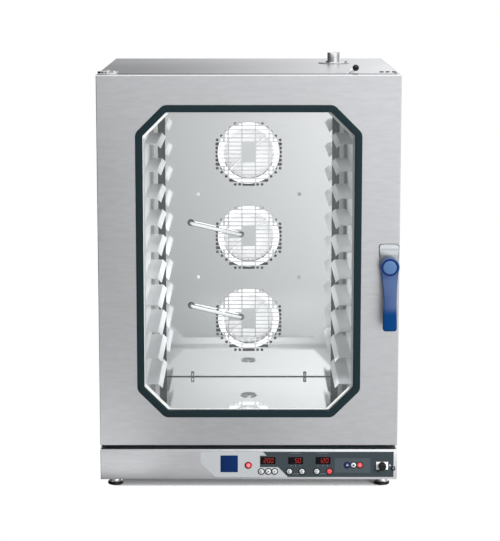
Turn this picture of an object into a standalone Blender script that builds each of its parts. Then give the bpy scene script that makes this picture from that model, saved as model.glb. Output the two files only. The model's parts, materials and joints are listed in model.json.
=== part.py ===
"""Combi steamer oven: a steel cabinet on feet, with a glazed door hung on its left,
a lever latch, tray racks, fans behind a slotted panel, and a control fascia below the door.

Metres, +Z up, front towards -Y. The origin lies on the floor, under the middle of the whole box.
"""
import math

import bmesh
import bpy
from mathutils import Matrix, Vector

# Overall sizes
WIDTH = 0.800
DEPTH = 0.750
HEIGHT = 1.121
SHEET = 0.0015
GAP = 0.0003

# Feet
FOOT_HEIGHT = 0.030
FOOT_RADIUS = 0.0215
FOOT_SHANK_RADIUS = 0.016
FOOT_PAD = 0.006
FOOT_TAPER = 0.004
FOOT_INSET_X = 0.036
FOOT_INSET_FRONT = 0.065
FOOT_INSET_REAR = 0.060
FOOT_STUD_RADIUS = 0.006
FOOT_STUD_LENGTH = 0.014

# Base pan and folded edges of the cabinet sheets
BASE_SHEET = 0.002
BASE_RIM = 0.020
BASE_SETBACK = 0.0153
FOLD = 0.015
TOP_FOLD = 0.020
VENT_LENGTH = 0.060
VENT_WIDTH = 0.006
VENT_PITCH = 0.014
VENT_ROWS = 5
VENT_COLUMNS = 2
VENT_RISE = 0.080
VENT_COLUMN_GAP = 0.020
VENT_INSET_X = 0.060

# Control fascia
FASCIA_HEIGHT = 0.084
DOOR_GAP = 0.011
OVERLAY_SHEET = 0.0006
OVERLAY_MARGIN_Z = 0.007
OVERLAY_LENGTH = 0.521
OVERLAY_CORNER = 0.040
OVERLAY_MARGIN_RIGHT = 0.009
DISPLAY_WIDTH = 0.0406
DISPLAY_HEIGHT = 0.0203
DISPLAY_RISE = 0.0526
DISPLAY_INSETS = (0.348, 0.2735, 0.1995)
DISPLAY_RECESS = 0.0004
BUTTON_RADIUS = 0.0070
BUTTON_FLANGE = 0.0011
BUTTON_FLANGE_THICK = 0.0015
BUTTON_PROUD = 0.0022
BUTTON_DOME = 0.0005
BUTTON_EDGE = 0.0028
BUTTON_TRAVEL = 0.0012
BUTTON_RISE = 0.0227
BUTTON_INSETS = (0.366, 0.347, 0.330, 0.290, 0.256, 0.216, 0.182)
MODE_BUTTON_RISE = 0.0403
MODE_BUTTON_INSETS = (0.134, 0.117, 0.100)
SWITCH_SIZE = 0.006
BOARD_SETBACK = 0.0085
BOARD_SHEET = 0.0016
BOARD_INSET_LEFT = 0.422
BOARD_INSET_RIGHT = 0.078
BOARD_MARGIN_Z = 0.010
STANDOFF_RADIUS = 0.003
STANDOFF_INSET = 0.005
LAMP_CLEARANCE = 0.0232
LAMP_RISE = 0.040
LAMP_RADIUS = 0.0095
LAMP_STEM_RADIUS = 0.0070
LAMP_PROUD = 0.004
LAMP_RIM = 0.001
LAMP_DOME_STEPS = 3
PROBE_INSET = 0.040
PROBE_RISE = 0.039
PROBE_PLATE_WIDTH = 0.032
PROBE_PLATE_HEIGHT = 0.021
PROBE_PLATE_SHEET = 0.002
PROBE_NECK_RADIUS = 0.008
PROBE_NECK_LENGTH = 0.009
PROBE_STEM_RADIUS = 0.006
PROBE_STEM_LENGTH = 0.020
CAP_RADIUS = 0.011
CAP_LENGTH = 0.014
CAP_FLATS = 20

# Door
DOOR_THICKNESS = 0.060
DOOR_CLEARANCE = 0.004
INNER_PAN_DEPTH = 0.050
INNER_PAN_FOLD = 0.012
WINDOW_MARGIN_X = 0.1015
WINDOW_MARGIN_Z = 0.078
WINDOW_CUT_CORNER = 0.074
WINDOW_CORNER_RADIUS = 0.020
RUBBER_BAND = 0.019
RUBBER_PROUD = 0.003
RUBBER_DEPTH = 0.011
RUBBER_LAP = 0.008
GLASS = 0.006
GLASS_SETBACK = 0.0025
INNER_GLASS = 0.005
INNER_GLASS_LAP = 0.009
PAN_WINDOW_INSET = 0.007
PIN_INSET_X = 0.014
PIN_SETBACK = 0.018
PIN_RADIUS = 0.006
PIN_LENGTH = 0.022
HINGE_PLATE = 0.004
HINGE_WIDTH = 0.047
HINGE_EDGE = 0.004
HINGE_FRONT = 0.005
HINGE_SEAT_LENGTH = 0.045

# Handle and latch
HANDLE_INSET_X = 0.028
HANDLE_RISE = 0.492
HANDLE_REACH = 0.060
BACKPLATE_WIDTH = 0.0535
BACKPLATE_ABOVE = 0.058
BACKPLATE_BELOW = 0.062
BACKPLATE_THICK = 0.008
BACKPLATE_CORNER = 0.005
HUB_RADIUS = 0.0262
HUB_LENGTH = 0.026
HUB_CAP_RADIUS = 0.0205
HUB_CAP_PROUD = 0.0025
LEVER_LENGTH = 0.171
LEVER_THICK = 0.016
LEVER_ROOT_WIDTH = 0.043
LEVER_SHOULDER = 0.024
LEVER_SHOULDER_LEAN = 0.08
LEVER_WAIST = 0.035
LEVER_KNEE = 0.106
LEVER_KNEE_LEAN = 0.92
LEVER_CORNER = 0.005
LEVER_TIP_WIDTH = 0.0375
LEVER_TIP_ROUND = 0.006
SPINDLE_RADIUS = 0.007
SPINDLE_SOCKET = 0.012
CAM_LENGTH = 0.028
CAM_HEIGHT = 0.012
CAM_THICK = 0.004
CAM_SETBACK = 0.004
STRIKE_HEIGHT = 0.030
STRIKE_LIP = 0.006
STRIKE_BASE = 0.008
STRIKE_LIP_THICK = 0.0035
CAM_CLEARANCE = 0.0006

# Chamber
SIDE_SPACE = 0.117
FLOOR_RISE = 0.173
TOP_SPACE = 0.081
REAR_SPACE = 0.130
INSULATION = 0.040
SEAL_OFFSET = 0.009
SEAL_WIDTH = 0.012
SEAL_CORNER = 0.020
DRAIN_DEPTH = 0.248
DRAIN_RADIUS = 0.023
DRAIN_SPIGOT_RADIUS = 0.016
DRAIN_CAP = 0.003
DRAIN_HOLES = 6
DRAIN_HOLE_RADIUS = 0.0022
DRAIN_HOLE_RING = 0.011
DRAIN_PIPE_RADIUS = 0.020
DRAIN_PIPE_DROP = 0.080
DRAIN_BEND = 0.045
PIPE_CLEARANCE = 0.001
REAR_REACH = 0.025

# Racks
LEDGE_PITCH = 0.0732
FIRST_LEDGE = 0.069
LEDGE_TOP_CLEARANCE = 0.060
LEDGE_WIDTH = 0.036
LEDGE_LIP = 0.011
RACK_FRONT = 0.095
RACK_LENGTH = 0.307
RACK_END = 0.045

# Fans, panel, heaters and injectors
FAN_DROP = 0.0045
WHEEL_RADIUS = 0.092
WHEEL_LENGTH = 0.060
WHEEL_SHEET = 0.002
WHEEL_INLET_RADIUS = 0.069
WHEEL_BLADES = 14
BLADE_SWEEP = math.radians(25)
WHEEL_PANEL_GAP = 0.028
HUB_WHEEL_RADIUS = 0.018
FAN_SHAFT_RADIUS = 0.006
FAN_SHAFT_GRIP = 0.050
FAN_SHAFT_HOLE = 0.010
MOTOR_RADIUS = 0.048
MOTOR_FLANGE_RADIUS = 0.058
MOTOR_FLANGE = 0.004
MOTOR_LENGTH = 0.085
MOTOR_NOSE = 0.012
PANEL_SETBACK = 0.150
PANEL_SIDE_GAP = 0.042
PANEL_END_GAP = 0.004
STUD_X = 0.147
STUD_RADIUS = 0.006
STUD_RISE = 0.006
GRILLE_RADIUS = 0.100
SLOT_LENGTH = 0.034
SLOT_WIDTH = 0.0082
SLOT_ROW_PITCH = 0.01176
SLOT_COLUMN_PITCH = 0.039
DOT_RADIUS = 0.004
DOT_PITCH = 0.013
BLANK_BELOW = 0.025
BLANK_ABOVE = 0.036
HEATER_TUBE = 0.0032
HEATER_GAP = 0.005
HEATER_STEP = 0.0080
HEATER_TURNS = 2
HEATER_POINTS = 16
GAP_SAMPLES = 8
HEATER_ADVANCE = 0.012
HEATER_SPACING = 0.006
HEATER_REAR_GAP = 0.060
HEATER_LEG_PROUD = 0.008
HEATER_START = math.radians(-100)
INJECTOR_TUBE = 0.006
INJECTOR_START_X = -0.168
INJECTOR_START_RISE = 0.045
INJECTOR_TIP_X = -0.021
INJECTOR_TIP_RISE = 0.010
INJECTOR_STANDOFF = 0.015
INJECTOR_TAIL = 0.006
VALVE_INSET = 0.100
VALVE_RISE = 0.090
VALVE_WIDTH = 0.060
VALVE_HEIGHT = 0.050
VALVE_LENGTH = 0.045
INLET_RADIUS = 0.013
INLET_BORE = 0.009

# Chimney and damper
CHIMNEY_INSET = 0.154
CHIMNEY_DEPTH = 0.520
CHIMNEY_RADIUS = 0.0185
CHIMNEY_WALL = 0.002
CHIMNEY_PROUD = 0.031
CHIMNEY_FLANGE_RADIUS = 0.045
CHIMNEY_FLANGE = 0.002
DAMPER_DROP = 0.013
DAMPER_SHAFT_RADIUS = 0.004
DAMPER_TAIL = 0.006
DAMPER_LEVER_DEPTH = 0.085
DAMPER_LEAN = math.radians(55)
DAMPER_TURN = math.radians(90)
DAMPER_ROD_RADIUS = 0.003
DAMPER_LEVER_LENGTH = 0.044
DAMPER_BALL_RADIUS = 0.00885
DAMPER_GRIP = 0.006
FLAP_THICK = 0.002
FLAP_CLEARANCE = 0.001

# Facets round the circles
ROUND = 16
SMALL_ROUND = 12
DOT_ROUND = 6
ARC_STEPS = 2

# Places worked out from the sizes above
HALF = WIDTH / 2
DOOR_FRONT = (HANDLE_REACH - DEPTH - REAR_REACH) / 2
FRAME_DEPTH = DOOR_THICKNESS + DOOR_CLEARANCE
CABINET_DEPTH = FRAME_DEPTH + SHEET + GAP
REAR_DEPTH = DEPTH - SHEET - GAP
INSIDE = HALF - SHEET - GAP
FASCIA_TOP = FOOT_HEIGHT + FASCIA_HEIGHT
DOOR_BOTTOM = FASCIA_TOP + DOOR_GAP
DOOR_MIDDLE = (DOOR_BOTTOM + HEIGHT) / 2
CHAMBER_HALF = HALF - SIDE_SPACE
CHAMBER_FLOOR = FOOT_HEIGHT + FLOOR_RISE
CHAMBER_TOP = HEIGHT - TOP_SPACE
CHAMBER_REAR = DEPTH - REAR_SPACE
PANEL_DEPTH = CHAMBER_REAR - PANEL_SETBACK
HEATER_INNER = WHEEL_RADIUS + HEATER_GAP + HEATER_TUBE
HEATER_OUTER = HEATER_INNER + HEATER_STEP * HEATER_TURNS + HEATER_TUBE
FAN_PITCH = 2 * HEATER_OUTER + HEATER_SPACING
FAN_MIDDLE = (CHAMBER_FLOOR + CHAMBER_TOP) / 2 - FAN_DROP
FANS = {
    "low": FAN_MIDDLE - FAN_PITCH,
    "mid": FAN_MIDDLE,
    "top": FAN_MIDDLE + FAN_PITCH,
}
INJECTED_FANS = ("low", "mid")
HANDLE_X = HALF - HANDLE_INSET_X
HANDLE_Z = DOOR_BOTTOM + HANDLE_RISE
PIN_X = -HALF + PIN_INSET_X
OVERLAY_RIGHT = HALF - OVERLAY_MARGIN_RIGHT
OVERLAY_LEFT = OVERLAY_RIGHT - OVERLAY_LENGTH
DISPLAYS_X = [HALF - inset for inset in DISPLAY_INSETS]
BUTTONS_X = [HALF - inset for inset in BUTTON_INSETS]
MODE_BUTTONS_X = [HALF - inset for inset in MODE_BUTTON_INSETS]
BOARD_LEFT = HALF - BOARD_INSET_LEFT
BOARD_RIGHT = HALF - BOARD_INSET_RIGHT
LAMP_X = DISPLAYS_X[0] - DISPLAY_WIDTH / 2 - LAMP_CLEARANCE - LAMP_RADIUS
PROBE_X = HALF - PROBE_INSET
CHIMNEY_X = HALF - CHIMNEY_INSET
VALVE_X = -HALF + VALVE_INSET
DAMPER_Z = HEIGHT - DAMPER_DROP
LEVELS = int((CHAMBER_TOP - CHAMBER_FLOOR - FIRST_LEDGE - LEDGE_TOP_CLEARANCE) / LEDGE_PITCH) + 1


def y_at(depth):
    """The y of a plane that lies the given depth behind the door's front face."""
    return DOOR_FRONT + depth


def span(middle, size):
    """The low and high end of a size about its middle."""
    return (middle - size / 2, middle + size / 2)


def depths(front, back):
    """The y span between two depths behind the door's front face."""
    return (y_at(front), y_at(back))


# Scene set-up
for old in list(bpy.data.objects):
    bpy.data.objects.remove(old)

PARTS = bpy.data.collections.new("combi_steamer_oven")
CUTTERS = bpy.data.collections.new("cutters")
bpy.context.scene.collection.children.link(PARTS)
bpy.context.scene.collection.children.link(CUTTERS)

# Finishes: colour, roughness, metallic
FINISHES = {
    "brushed_steel": ((0.60, 0.61, 0.62), 0.35, 1.0),
    "chamber_steel": ((0.66, 0.67, 0.68), 0.22, 1.0),
    "zinc_sheet": ((0.50, 0.51, 0.52), 0.50, 1.0),
    "glass": ((0.75, 0.80, 0.80), 0.05, 0.0),
    "rubber": ((0.02, 0.035, 0.04), 0.60, 0.0),
    "seal_rubber": ((0.03, 0.03, 0.03), 0.70, 0.0),
    "black_plastic": ((0.01, 0.01, 0.012), 0.40, 0.0),
    "overlay_film": ((0.06, 0.075, 0.08), 0.45, 0.0),
    "blue_plastic": ((0.01, 0.09, 0.27), 0.35, 0.0),
    "white_plastic": ((0.75, 0.77, 0.77), 0.40, 0.0),
    "red_plastic": ((0.70, 0.05, 0.06), 0.30, 0.0),
    "mode_blue": ((0.05, 0.07, 0.30), 0.35, 0.0),
    "chrome": ((0.75, 0.75, 0.76), 0.12, 1.0),
    "mineral_wool": ((0.55, 0.50, 0.35), 0.95, 0.0),
    "motor_paint": ((0.12, 0.13, 0.14), 0.50, 0.3),
    "heater_metal": ((0.20, 0.18, 0.17), 0.50, 0.9),
    "board_green": ((0.03, 0.20, 0.08), 0.50, 0.0),
    "brass": ((0.60, 0.45, 0.20), 0.30, 1.0),
}


def finish(name):
    """The Principled material of a finish, made once."""
    material = bpy.data.materials.get(name)
    if material is None:
        colour, roughness, metallic = FINISHES[name]
        material = bpy.data.materials.new(name)
        material.use_nodes = True
        shader = material.node_tree.nodes["Principled BSDF"]
        shader.inputs["Base Color"].default_value = (*colour, 1.0)
        shader.inputs["Roughness"].default_value = roughness
        shader.inputs["Metallic"].default_value = metallic
    return material


def from_bmesh(name, bm, at=(0, 0, 0)):
    """An object in the parts collection that takes over a bmesh."""
    mesh = bpy.data.meshes.new(name)
    bm.to_mesh(mesh)
    bm.free()
    obj = bpy.data.objects.new(name, mesh)
    obj.location = at
    PARTS.objects.link(obj)
    return obj


def box(name, x, y, z):
    """A box that fills three (low, high) spans."""
    spans = (x, y, z)
    bm = bmesh.new()
    scale = Matrix.Diagonal((*(high - low for low, high in spans), 1.0))
    bmesh.ops.create_cube(bm, size=1.0, matrix=scale)
    return from_bmesh(name, bm, [(low + high) / 2 for low, high in spans])


def open_box(name, x, y, z, side, wall):
    """A folded pan: a box without the face on one side, with walls turned inwards."""
    pan = box(name, x, y, z)
    bm = bmesh.new()
    bm.from_mesh(pan.data)
    gone = [face for face in bm.faces if face.normal.dot(Vector(side)) > 0.5]
    bmesh.ops.delete(bm, geom=gone, context="FACES")
    bm.to_mesh(pan.data)
    bm.free()
    shell = pan.modifiers.new("wall", "SOLIDIFY")
    shell.thickness = wall
    shell.offset = -1
    shell.use_even_offset = True
    return pan


def rod(name, radius, start, end, segments=ROUND):
    """A round bar between two points."""
    start, end = Vector(start), Vector(end)
    run = end - start
    bm = bmesh.new()
    bmesh.ops.create_cone(bm, cap_ends=True, segments=segments, radius1=radius, radius2=radius,
                          depth=run.length)
    turn = run.to_track_quat("Z", "Y").to_matrix().to_4x4()
    bmesh.ops.transform(bm, matrix=turn, verts=bm.verts)
    return smooth(from_bmesh(name, bm, (start + end) / 2))


def smooth(obj):
    """Shades the round faces smooth and leaves the corners sharp."""
    obj.data.shade_smooth()
    obj.data.set_sharp_from_angle(angle=math.radians(35))
    return obj


FACING = {
    "front": (math.pi / 2, 0, 0),
    "side": (math.pi / 2, 0, math.pi / 2),
    "top": (0, 0, 0),
}


def outlined(name, loops, thickness, at, facing):
    """A flat solid from closed outlines. Inner loops are holes, and `at` is mid thickness."""
    curve = bpy.data.curves.new(name, "CURVE")
    curve.dimensions = "2D"
    curve.fill_mode = "BOTH"
    curve.extrude = thickness / 2
    for loop in loops:
        spline = curve.splines.new("POLY")
        spline.points.add(len(loop) - 1)
        for point, (across, up) in zip(spline.points, loop):
            point.co = (across, up, 0, 1)
        spline.use_cyclic_u = True
    obj = bpy.data.objects.new(name, curve)
    obj.location = at
    obj.rotation_euler = FACING[facing]
    PARTS.objects.link(obj)
    return as_mesh(obj)


def as_mesh(curve_object):
    """The same shape as a closed mesh, in place of the curve."""
    name = curve_object.name
    shape = curve_object.evaluated_get(bpy.context.evaluated_depsgraph_get())
    mesh = bpy.data.meshes.new_from_object(shape)
    bm = bmesh.new()
    bm.from_mesh(mesh)
    bmesh.ops.remove_doubles(bm, verts=bm.verts, dist=1e-6)
    bmesh.ops.recalc_face_normals(bm, faces=bm.faces)
    bm.to_mesh(mesh)
    bm.free()
    place = curve_object.matrix_world.copy()
    bpy.data.objects.remove(curve_object)
    obj = bpy.data.objects.new(name, mesh)
    obj.matrix_world = place
    PARTS.objects.link(obj)
    return obj


def turned(name, profile, at, facing, segments=ROUND):
    """A turned solid. The profile holds (radius, height) points, and a stretch on the axis stays open."""
    bm = bmesh.new()
    points = [bm.verts.new((radius, 0, height)) for radius, height in profile]
    for first, second in zip(points, points[1:]):
        if first.co.x or second.co.x:
            bm.edges.new((first, second))
    if profile[0][0] > 0:
        bm.edges.new((points[-1], points[0]))
    obj = from_bmesh(name, bm, at)
    obj.rotation_euler = FACING[facing]
    screw = obj.modifiers.new("turn", "SCREW")
    screw.steps = segments
    screw.render_steps = segments
    screw.use_merge_vertices = True
    screw.merge_threshold = 1e-5
    screw.use_smooth_shade = True
    return obj


def tube(name, points, radius, sides_level=2):
    """A round tube with filled ends along straight runs."""
    curve = bpy.data.curves.new(name, "CURVE")
    curve.dimensions = "3D"
    curve.bevel_depth = radius
    curve.bevel_resolution = sides_level
    curve.use_fill_caps = True
    spline = curve.splines.new("POLY")
    spline.points.add(len(points) - 1)
    for point, place in zip(spline.points, points):
        point.co = (*place, 1)
    obj = bpy.data.objects.new(name, curve)
    PARTS.objects.link(obj)
    return as_mesh(obj)


def as_tool(obj):
    """Moves a shape to the cutters, out of the finished part."""
    PARTS.objects.unlink(obj)
    CUTTERS.objects.link(obj)
    obj.hide_render = True
    obj.display_type = "WIRE"
    return obj


def combine(obj, tools, operation):
    """Adds one exact Boolean for each tool."""
    for tool in tools:
        boolean = obj.modifiers.new(operation.lower(), "BOOLEAN")
        boolean.operation = operation
        boolean.solver = "EXACT"
        boolean.object = as_tool(tool)
    return obj


def cut(obj, *tools):
    return combine(obj, tools, "DIFFERENCE")


def fuse(obj, *tools):
    return combine(obj, tools, "UNION")


def several(name, shapes):
    """Joins separate shapes into one mesh, to cut or fuse them in one go."""
    first = shapes[0]
    with bpy.context.temp_override(active_object=first, selected_editable_objects=shapes):
        bpy.ops.object.join()
    first.name = name
    return first


def paint(obj, name):
    obj.data.materials.clear()
    obj.data.materials.append(finish(name))
    return obj


# Outlines
def rectangle(x, z):
    return [(x[0], z[0]), (x[1], z[0]), (x[1], z[1]), (x[0], z[1])]


def circle(middle, radius, segments=SMALL_ROUND):
    turn = 2 * math.pi / segments
    return [(middle[0] + radius * math.cos(turn * step), middle[1] + radius * math.sin(turn * step))
            for step in range(segments)]


def rounded(corners, radius):
    """Rounds each corner of a convex outline with an arc."""
    loop = []
    count = len(corners)
    for index, corner in enumerate(corners):
        corner = Vector(corner)
        before = (Vector(corners[index - 1]) - corner).normalized()
        after = (Vector(corners[(index + 1) % count]) - corner).normalized()
        half_angle = before.angle(after) / 2
        centre = corner + (before + after).normalized() * (radius / math.sin(half_angle))
        start = corner + before * (radius / math.tan(half_angle)) - centre
        sweep = math.pi - 2 * half_angle
        turn = 1 if before.x * after.y - before.y * after.x < 0 else -1
        for step in range(ARC_STEPS + 1):
            angle = turn * sweep * step / ARC_STEPS
            loop.append((centre.x + start.x * math.cos(angle) - start.y * math.sin(angle),
                         centre.y + start.x * math.sin(angle) + start.y * math.cos(angle)))
    return loop


def window_outline(inset):
    """The window's cut-corner outline, drawn in by an inset all round."""
    half_x = HALF - WINDOW_MARGIN_X - inset
    half_z = (HEIGHT - DOOR_BOTTOM) / 2 - WINDOW_MARGIN_Z - inset
    leg = WINDOW_CUT_CORNER - inset * (2 - math.sqrt(2))
    corners = [(half_x, half_z - leg), (half_x - leg, half_z),
               (-half_x + leg, half_z), (-half_x, half_z - leg),
               (-half_x, -half_z + leg), (-half_x + leg, -half_z),
               (half_x - leg, -half_z), (half_x, -half_z + leg)]
    return rounded(corners, max(WINDOW_CORNER_RADIUS - inset, GAP))


# Cabinet
def make_foot(name, x, depth):
    """A levelling foot: a round pad, a tapered shank and the stud that screws into the base."""
    top = FOOT_HEIGHT - GAP
    stud_top = top + FOOT_STUD_LENGTH
    profile = [(0, stud_top), (FOOT_STUD_RADIUS, stud_top), (FOOT_STUD_RADIUS, top),
               (FOOT_SHANK_RADIUS, top), (FOOT_SHANK_RADIUS, FOOT_PAD + FOOT_TAPER),
               (FOOT_RADIUS, FOOT_PAD), (FOOT_RADIUS, 0), (0, 0)]
    return paint(turned(name, profile, (x, y_at(depth), 0), "top", SMALL_ROUND), "black_plastic")


def foot_places():
    """Name, x and depth of each foot."""
    side = HALF - FOOT_INSET_X
    rear = DEPTH - FOOT_INSET_REAR
    return [("foot_front_left", -side, FOOT_INSET_FRONT), ("foot_front_right", side, FOOT_INSET_FRONT),
            ("foot_rear_left", -side, rear), ("foot_rear_right", side, rear)]


def make_base_pan():
    """The base pan, between the side panels."""
    z = (FOOT_HEIGHT, FOOT_HEIGHT + BASE_RIM)
    pan = open_box("base_pan", (-INSIDE, INSIDE), depths(BASE_SETBACK, REAR_DEPTH), z, (0, 0, 1),
                   BASE_SHEET)
    holes = []
    for name, x, depth in foot_places():
        place = (x, y_at(depth))
        holes.append(rod("hole_" + name, FOOT_STUD_RADIUS + GAP, (*place, z[0] - BASE_SHEET),
                         (*place, z[0] + 2 * BASE_SHEET)))
    return paint(cut(pan, several("base_pan_holes", holes)), "zinc_sheet")


def make_side_panel(name, side):
    """A side sheet with its front and rear edges folded inwards, clear of the base and the top."""
    front, rear = depths(CABINET_DEPTH, REAR_DEPTH)
    outer, inner = HALF, HALF - SHEET
    fold = HALF - FOLD
    loop = [(outer, front), (outer, rear), (fold, rear), (fold, rear - SHEET), (inner, rear - SHEET),
            (inner, front + SHEET), (fold, front + SHEET), (fold, front)]
    if side < 0:
        loop = [(-x, y) for x, y in reversed(loop)]
    z = (FOOT_HEIGHT, HEIGHT)
    panel = outlined(name, [loop], z[1] - z[0], (0, 0, (z[0] + z[1]) / 2), "top")
    notch_x = sorted((side * inner, side * (fold - SHEET)))
    notch_y = (front - SHEET, rear + SHEET)
    top_notch = box("top_notch", notch_x, notch_y, (HEIGHT - TOP_FOLD - GAP, HEIGHT + SHEET))
    base_notch = box("base_notch", notch_x, notch_y, (FOOT_HEIGHT - SHEET, FOOT_HEIGHT + BASE_RIM + GAP))
    return paint(cut(panel, top_notch, base_notch), "brushed_steel")


def make_rear_panel():
    """The rear sheet, with vent slots, the water inlet hole and the drain hole."""
    loops = [rectangle((-HALF, HALF), (FOOT_HEIGHT, HEIGHT))]
    for row in range(VENT_ROWS):
        rise = FOOT_HEIGHT + VENT_RISE + row * VENT_PITCH
        for column in range(VENT_COLUMNS):
            x = HALF - VENT_INSET_X - VENT_LENGTH / 2 - column * (VENT_LENGTH + VENT_COLUMN_GAP)
            loops.append(rectangle(span(x, VENT_LENGTH), span(rise, VENT_WIDTH)))
    loops.append(circle((VALVE_X, FOOT_HEIGHT + VALVE_RISE), INLET_RADIUS + GAP, ROUND))
    loops.append(circle((0, drain_height()), DRAIN_PIPE_RADIUS + PIPE_CLEARANCE, ROUND))
    panel = outlined("rear_panel", loops, SHEET, (0, y_at(DEPTH - SHEET / 2), 0), "front")
    return paint(panel, "brushed_steel")


def make_top_panel():
    """The top sheet, folded down at front and rear, with the chimney hole and the lever's slot."""
    front, rear = depths(CABINET_DEPTH, REAR_DEPTH)
    low = HEIGHT - TOP_FOLD
    under = HEIGHT - SHEET
    loop = [(front, HEIGHT), (front, low), (front + SHEET, low), (front + SHEET, under),
            (rear - SHEET, under), (rear - SHEET, low), (rear, low), (rear, HEIGHT)]
    panel = outlined("top_panel", [loop], 2 * INSIDE, (0, 0, 0), "side")
    bore = DAMPER_SHAFT_RADIUS + GAP
    shaft_hole = rod("shaft_hole", bore, (CHIMNEY_X, front - SHEET, DAMPER_Z),
                     (CHIMNEY_X, front + 2 * SHEET, DAMPER_Z), SMALL_ROUND)
    chimney = (CHIMNEY_X, y_at(CHIMNEY_DEPTH))
    duct_hole = rod("duct_hole", CHIMNEY_RADIUS + GAP, (*chimney, under - SHEET),
                    (*chimney, HEIGHT + SHEET))
    return paint(cut(panel, shaft_hole, duct_hole, lever_slot(under)), "brushed_steel")


def lever_slot(under):
    """The slot that the damper's lever sweeps through."""
    reach = DAMPER_ROD_RADIUS / math.cos(DAMPER_LEAN) + SHEET
    right = CHIMNEY_X + DAMPER_DROP * math.tan(DAMPER_LEAN) + reach
    left = CHIMNEY_X - DAMPER_DROP * math.tan(DAMPER_TURN - DAMPER_LEAN) - reach
    width = 2 * DAMPER_ROD_RADIUS + 4 * GAP
    y = span(y_at(DAMPER_LEVER_DEPTH), width)
    return box("lever_slot", (left, right), y, (under - SHEET, HEIGHT + SHEET))


def make_front_frame():
    """The cabinet's front sheet round the chamber's mouth, with the latch strike welded on."""
    outer = rectangle((-HALF, HALF), (FOOT_HEIGHT + BASE_RIM + GAP, HEIGHT))
    mouth = rectangle((-CHAMBER_HALF, CHAMBER_HALF), (CHAMBER_FLOOR, CHAMBER_TOP))
    frame = outlined("front_frame", [outer, mouth], SHEET, (0, y_at(FRAME_DEPTH + SHEET / 2), 0), "front")
    z = span(HANDLE_Z, STRIKE_HEIGHT)
    cam_front = CAM_SETBACK + CAM_THICK
    lip_back = FRAME_DEPTH - cam_front - CAM_CLEARANCE
    lip_front = lip_back - STRIKE_LIP_THICK
    tip = HANDLE_X - CAM_LENGTH
    base_right = tip - 2 * CAM_CLEARANCE
    strike_x = (base_right - STRIKE_BASE, base_right)
    strike = box("strike", strike_x, depths(lip_front, FRAME_DEPTH + SHEET / 2), z)
    lip_x = (base_right - STRIKE_BASE / 2, tip + STRIKE_LIP)
    lip = box("strike_lip", lip_x, depths(lip_front, lip_back), z)
    return paint(fuse(frame, fuse(strike, lip)), "brushed_steel")


# Chamber
def make_chamber_wrapper():
    """The chamber's side walls and ceiling, folded from one sheet."""
    inner, outer = CHAMBER_HALF, CHAMBER_HALF + SHEET
    low, top = CHAMBER_FLOOR + GAP, CHAMBER_TOP
    loop = [(-outer, low), (-inner, low), (-inner, top), (inner, top), (inner, low), (outer, low),
            (outer, top + SHEET), (-outer, top + SHEET)]
    front, rear = CABINET_DEPTH, CHAMBER_REAR - GAP
    wrapper = outlined("chamber_wrapper", [loop], rear - front, (0, y_at((front + rear) / 2), 0), "front")
    return paint(cut(wrapper, duct_cutter("ceiling_hole")), "chamber_steel")


def duct_cutter(name):
    place = (CHIMNEY_X, y_at(CHIMNEY_DEPTH))
    return rod(name, CHIMNEY_RADIUS + GAP, (*place, CHAMBER_TOP - 2 * SHEET), (*place, HEIGHT))


def drain_height():
    return CHAMBER_FLOOR - DRAIN_PIPE_DROP


def make_chamber_floor():
    """The chamber's floor sheet with the drain pipe welded under it."""
    half = CHAMBER_HALF + SHEET
    y = depths(CABINET_DEPTH, CHAMBER_REAR - GAP)
    floor = box("chamber_floor", (-half, half), y, (CHAMBER_FLOOR - SHEET, CHAMBER_FLOOR))
    spigot = DRAIN_SPIGOT_RADIUS + GAP
    mouth = (0, y_at(DRAIN_DEPTH))
    pipe = drain_pipe()
    well = rod("drain_well", spigot, (*mouth, CHAMBER_FLOOR + SHEET),
               (*mouth, CHAMBER_FLOOR - DRAIN_PIPE_DROP / 3))
    end = y_at(DEPTH + REAR_REACH)
    outlet = rod("drain_outlet", spigot, (0, end + SHEET, drain_height()),
                 (0, end - REAR_REACH, drain_height()))
    return paint(cut(fuse(floor, pipe), well, outlet), "chamber_steel")


def drain_pipe():
    """A pipe that drops from the floor, bends and runs back through the rear panel."""
    y_drop, low = y_at(DRAIN_DEPTH), drain_height()
    route = [(0, y_drop, CHAMBER_FLOOR - SHEET / 2)]
    for step in range(ARC_STEPS + 1):
        angle = math.pi / 2 * step / ARC_STEPS
        back = DRAIN_BEND * (1 - math.cos(angle))
        above = DRAIN_BEND * (1 - math.sin(angle))
        route.append((0, y_drop + back, low + above))
    route.append((0, y_at(DEPTH + REAR_REACH), low))
    return tube("drain_pipe", route, DRAIN_PIPE_RADIUS)


def stud_places():
    """The fan panel's studs lie beside the middle of each gap between fans."""
    for z in (FAN_MIDDLE - FAN_PITCH / 2 + STUD_RISE, FAN_MIDDLE + FAN_PITCH / 2 + STUD_RISE):
        for x in (-STUD_X, STUD_X):
            yield x, z


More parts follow.
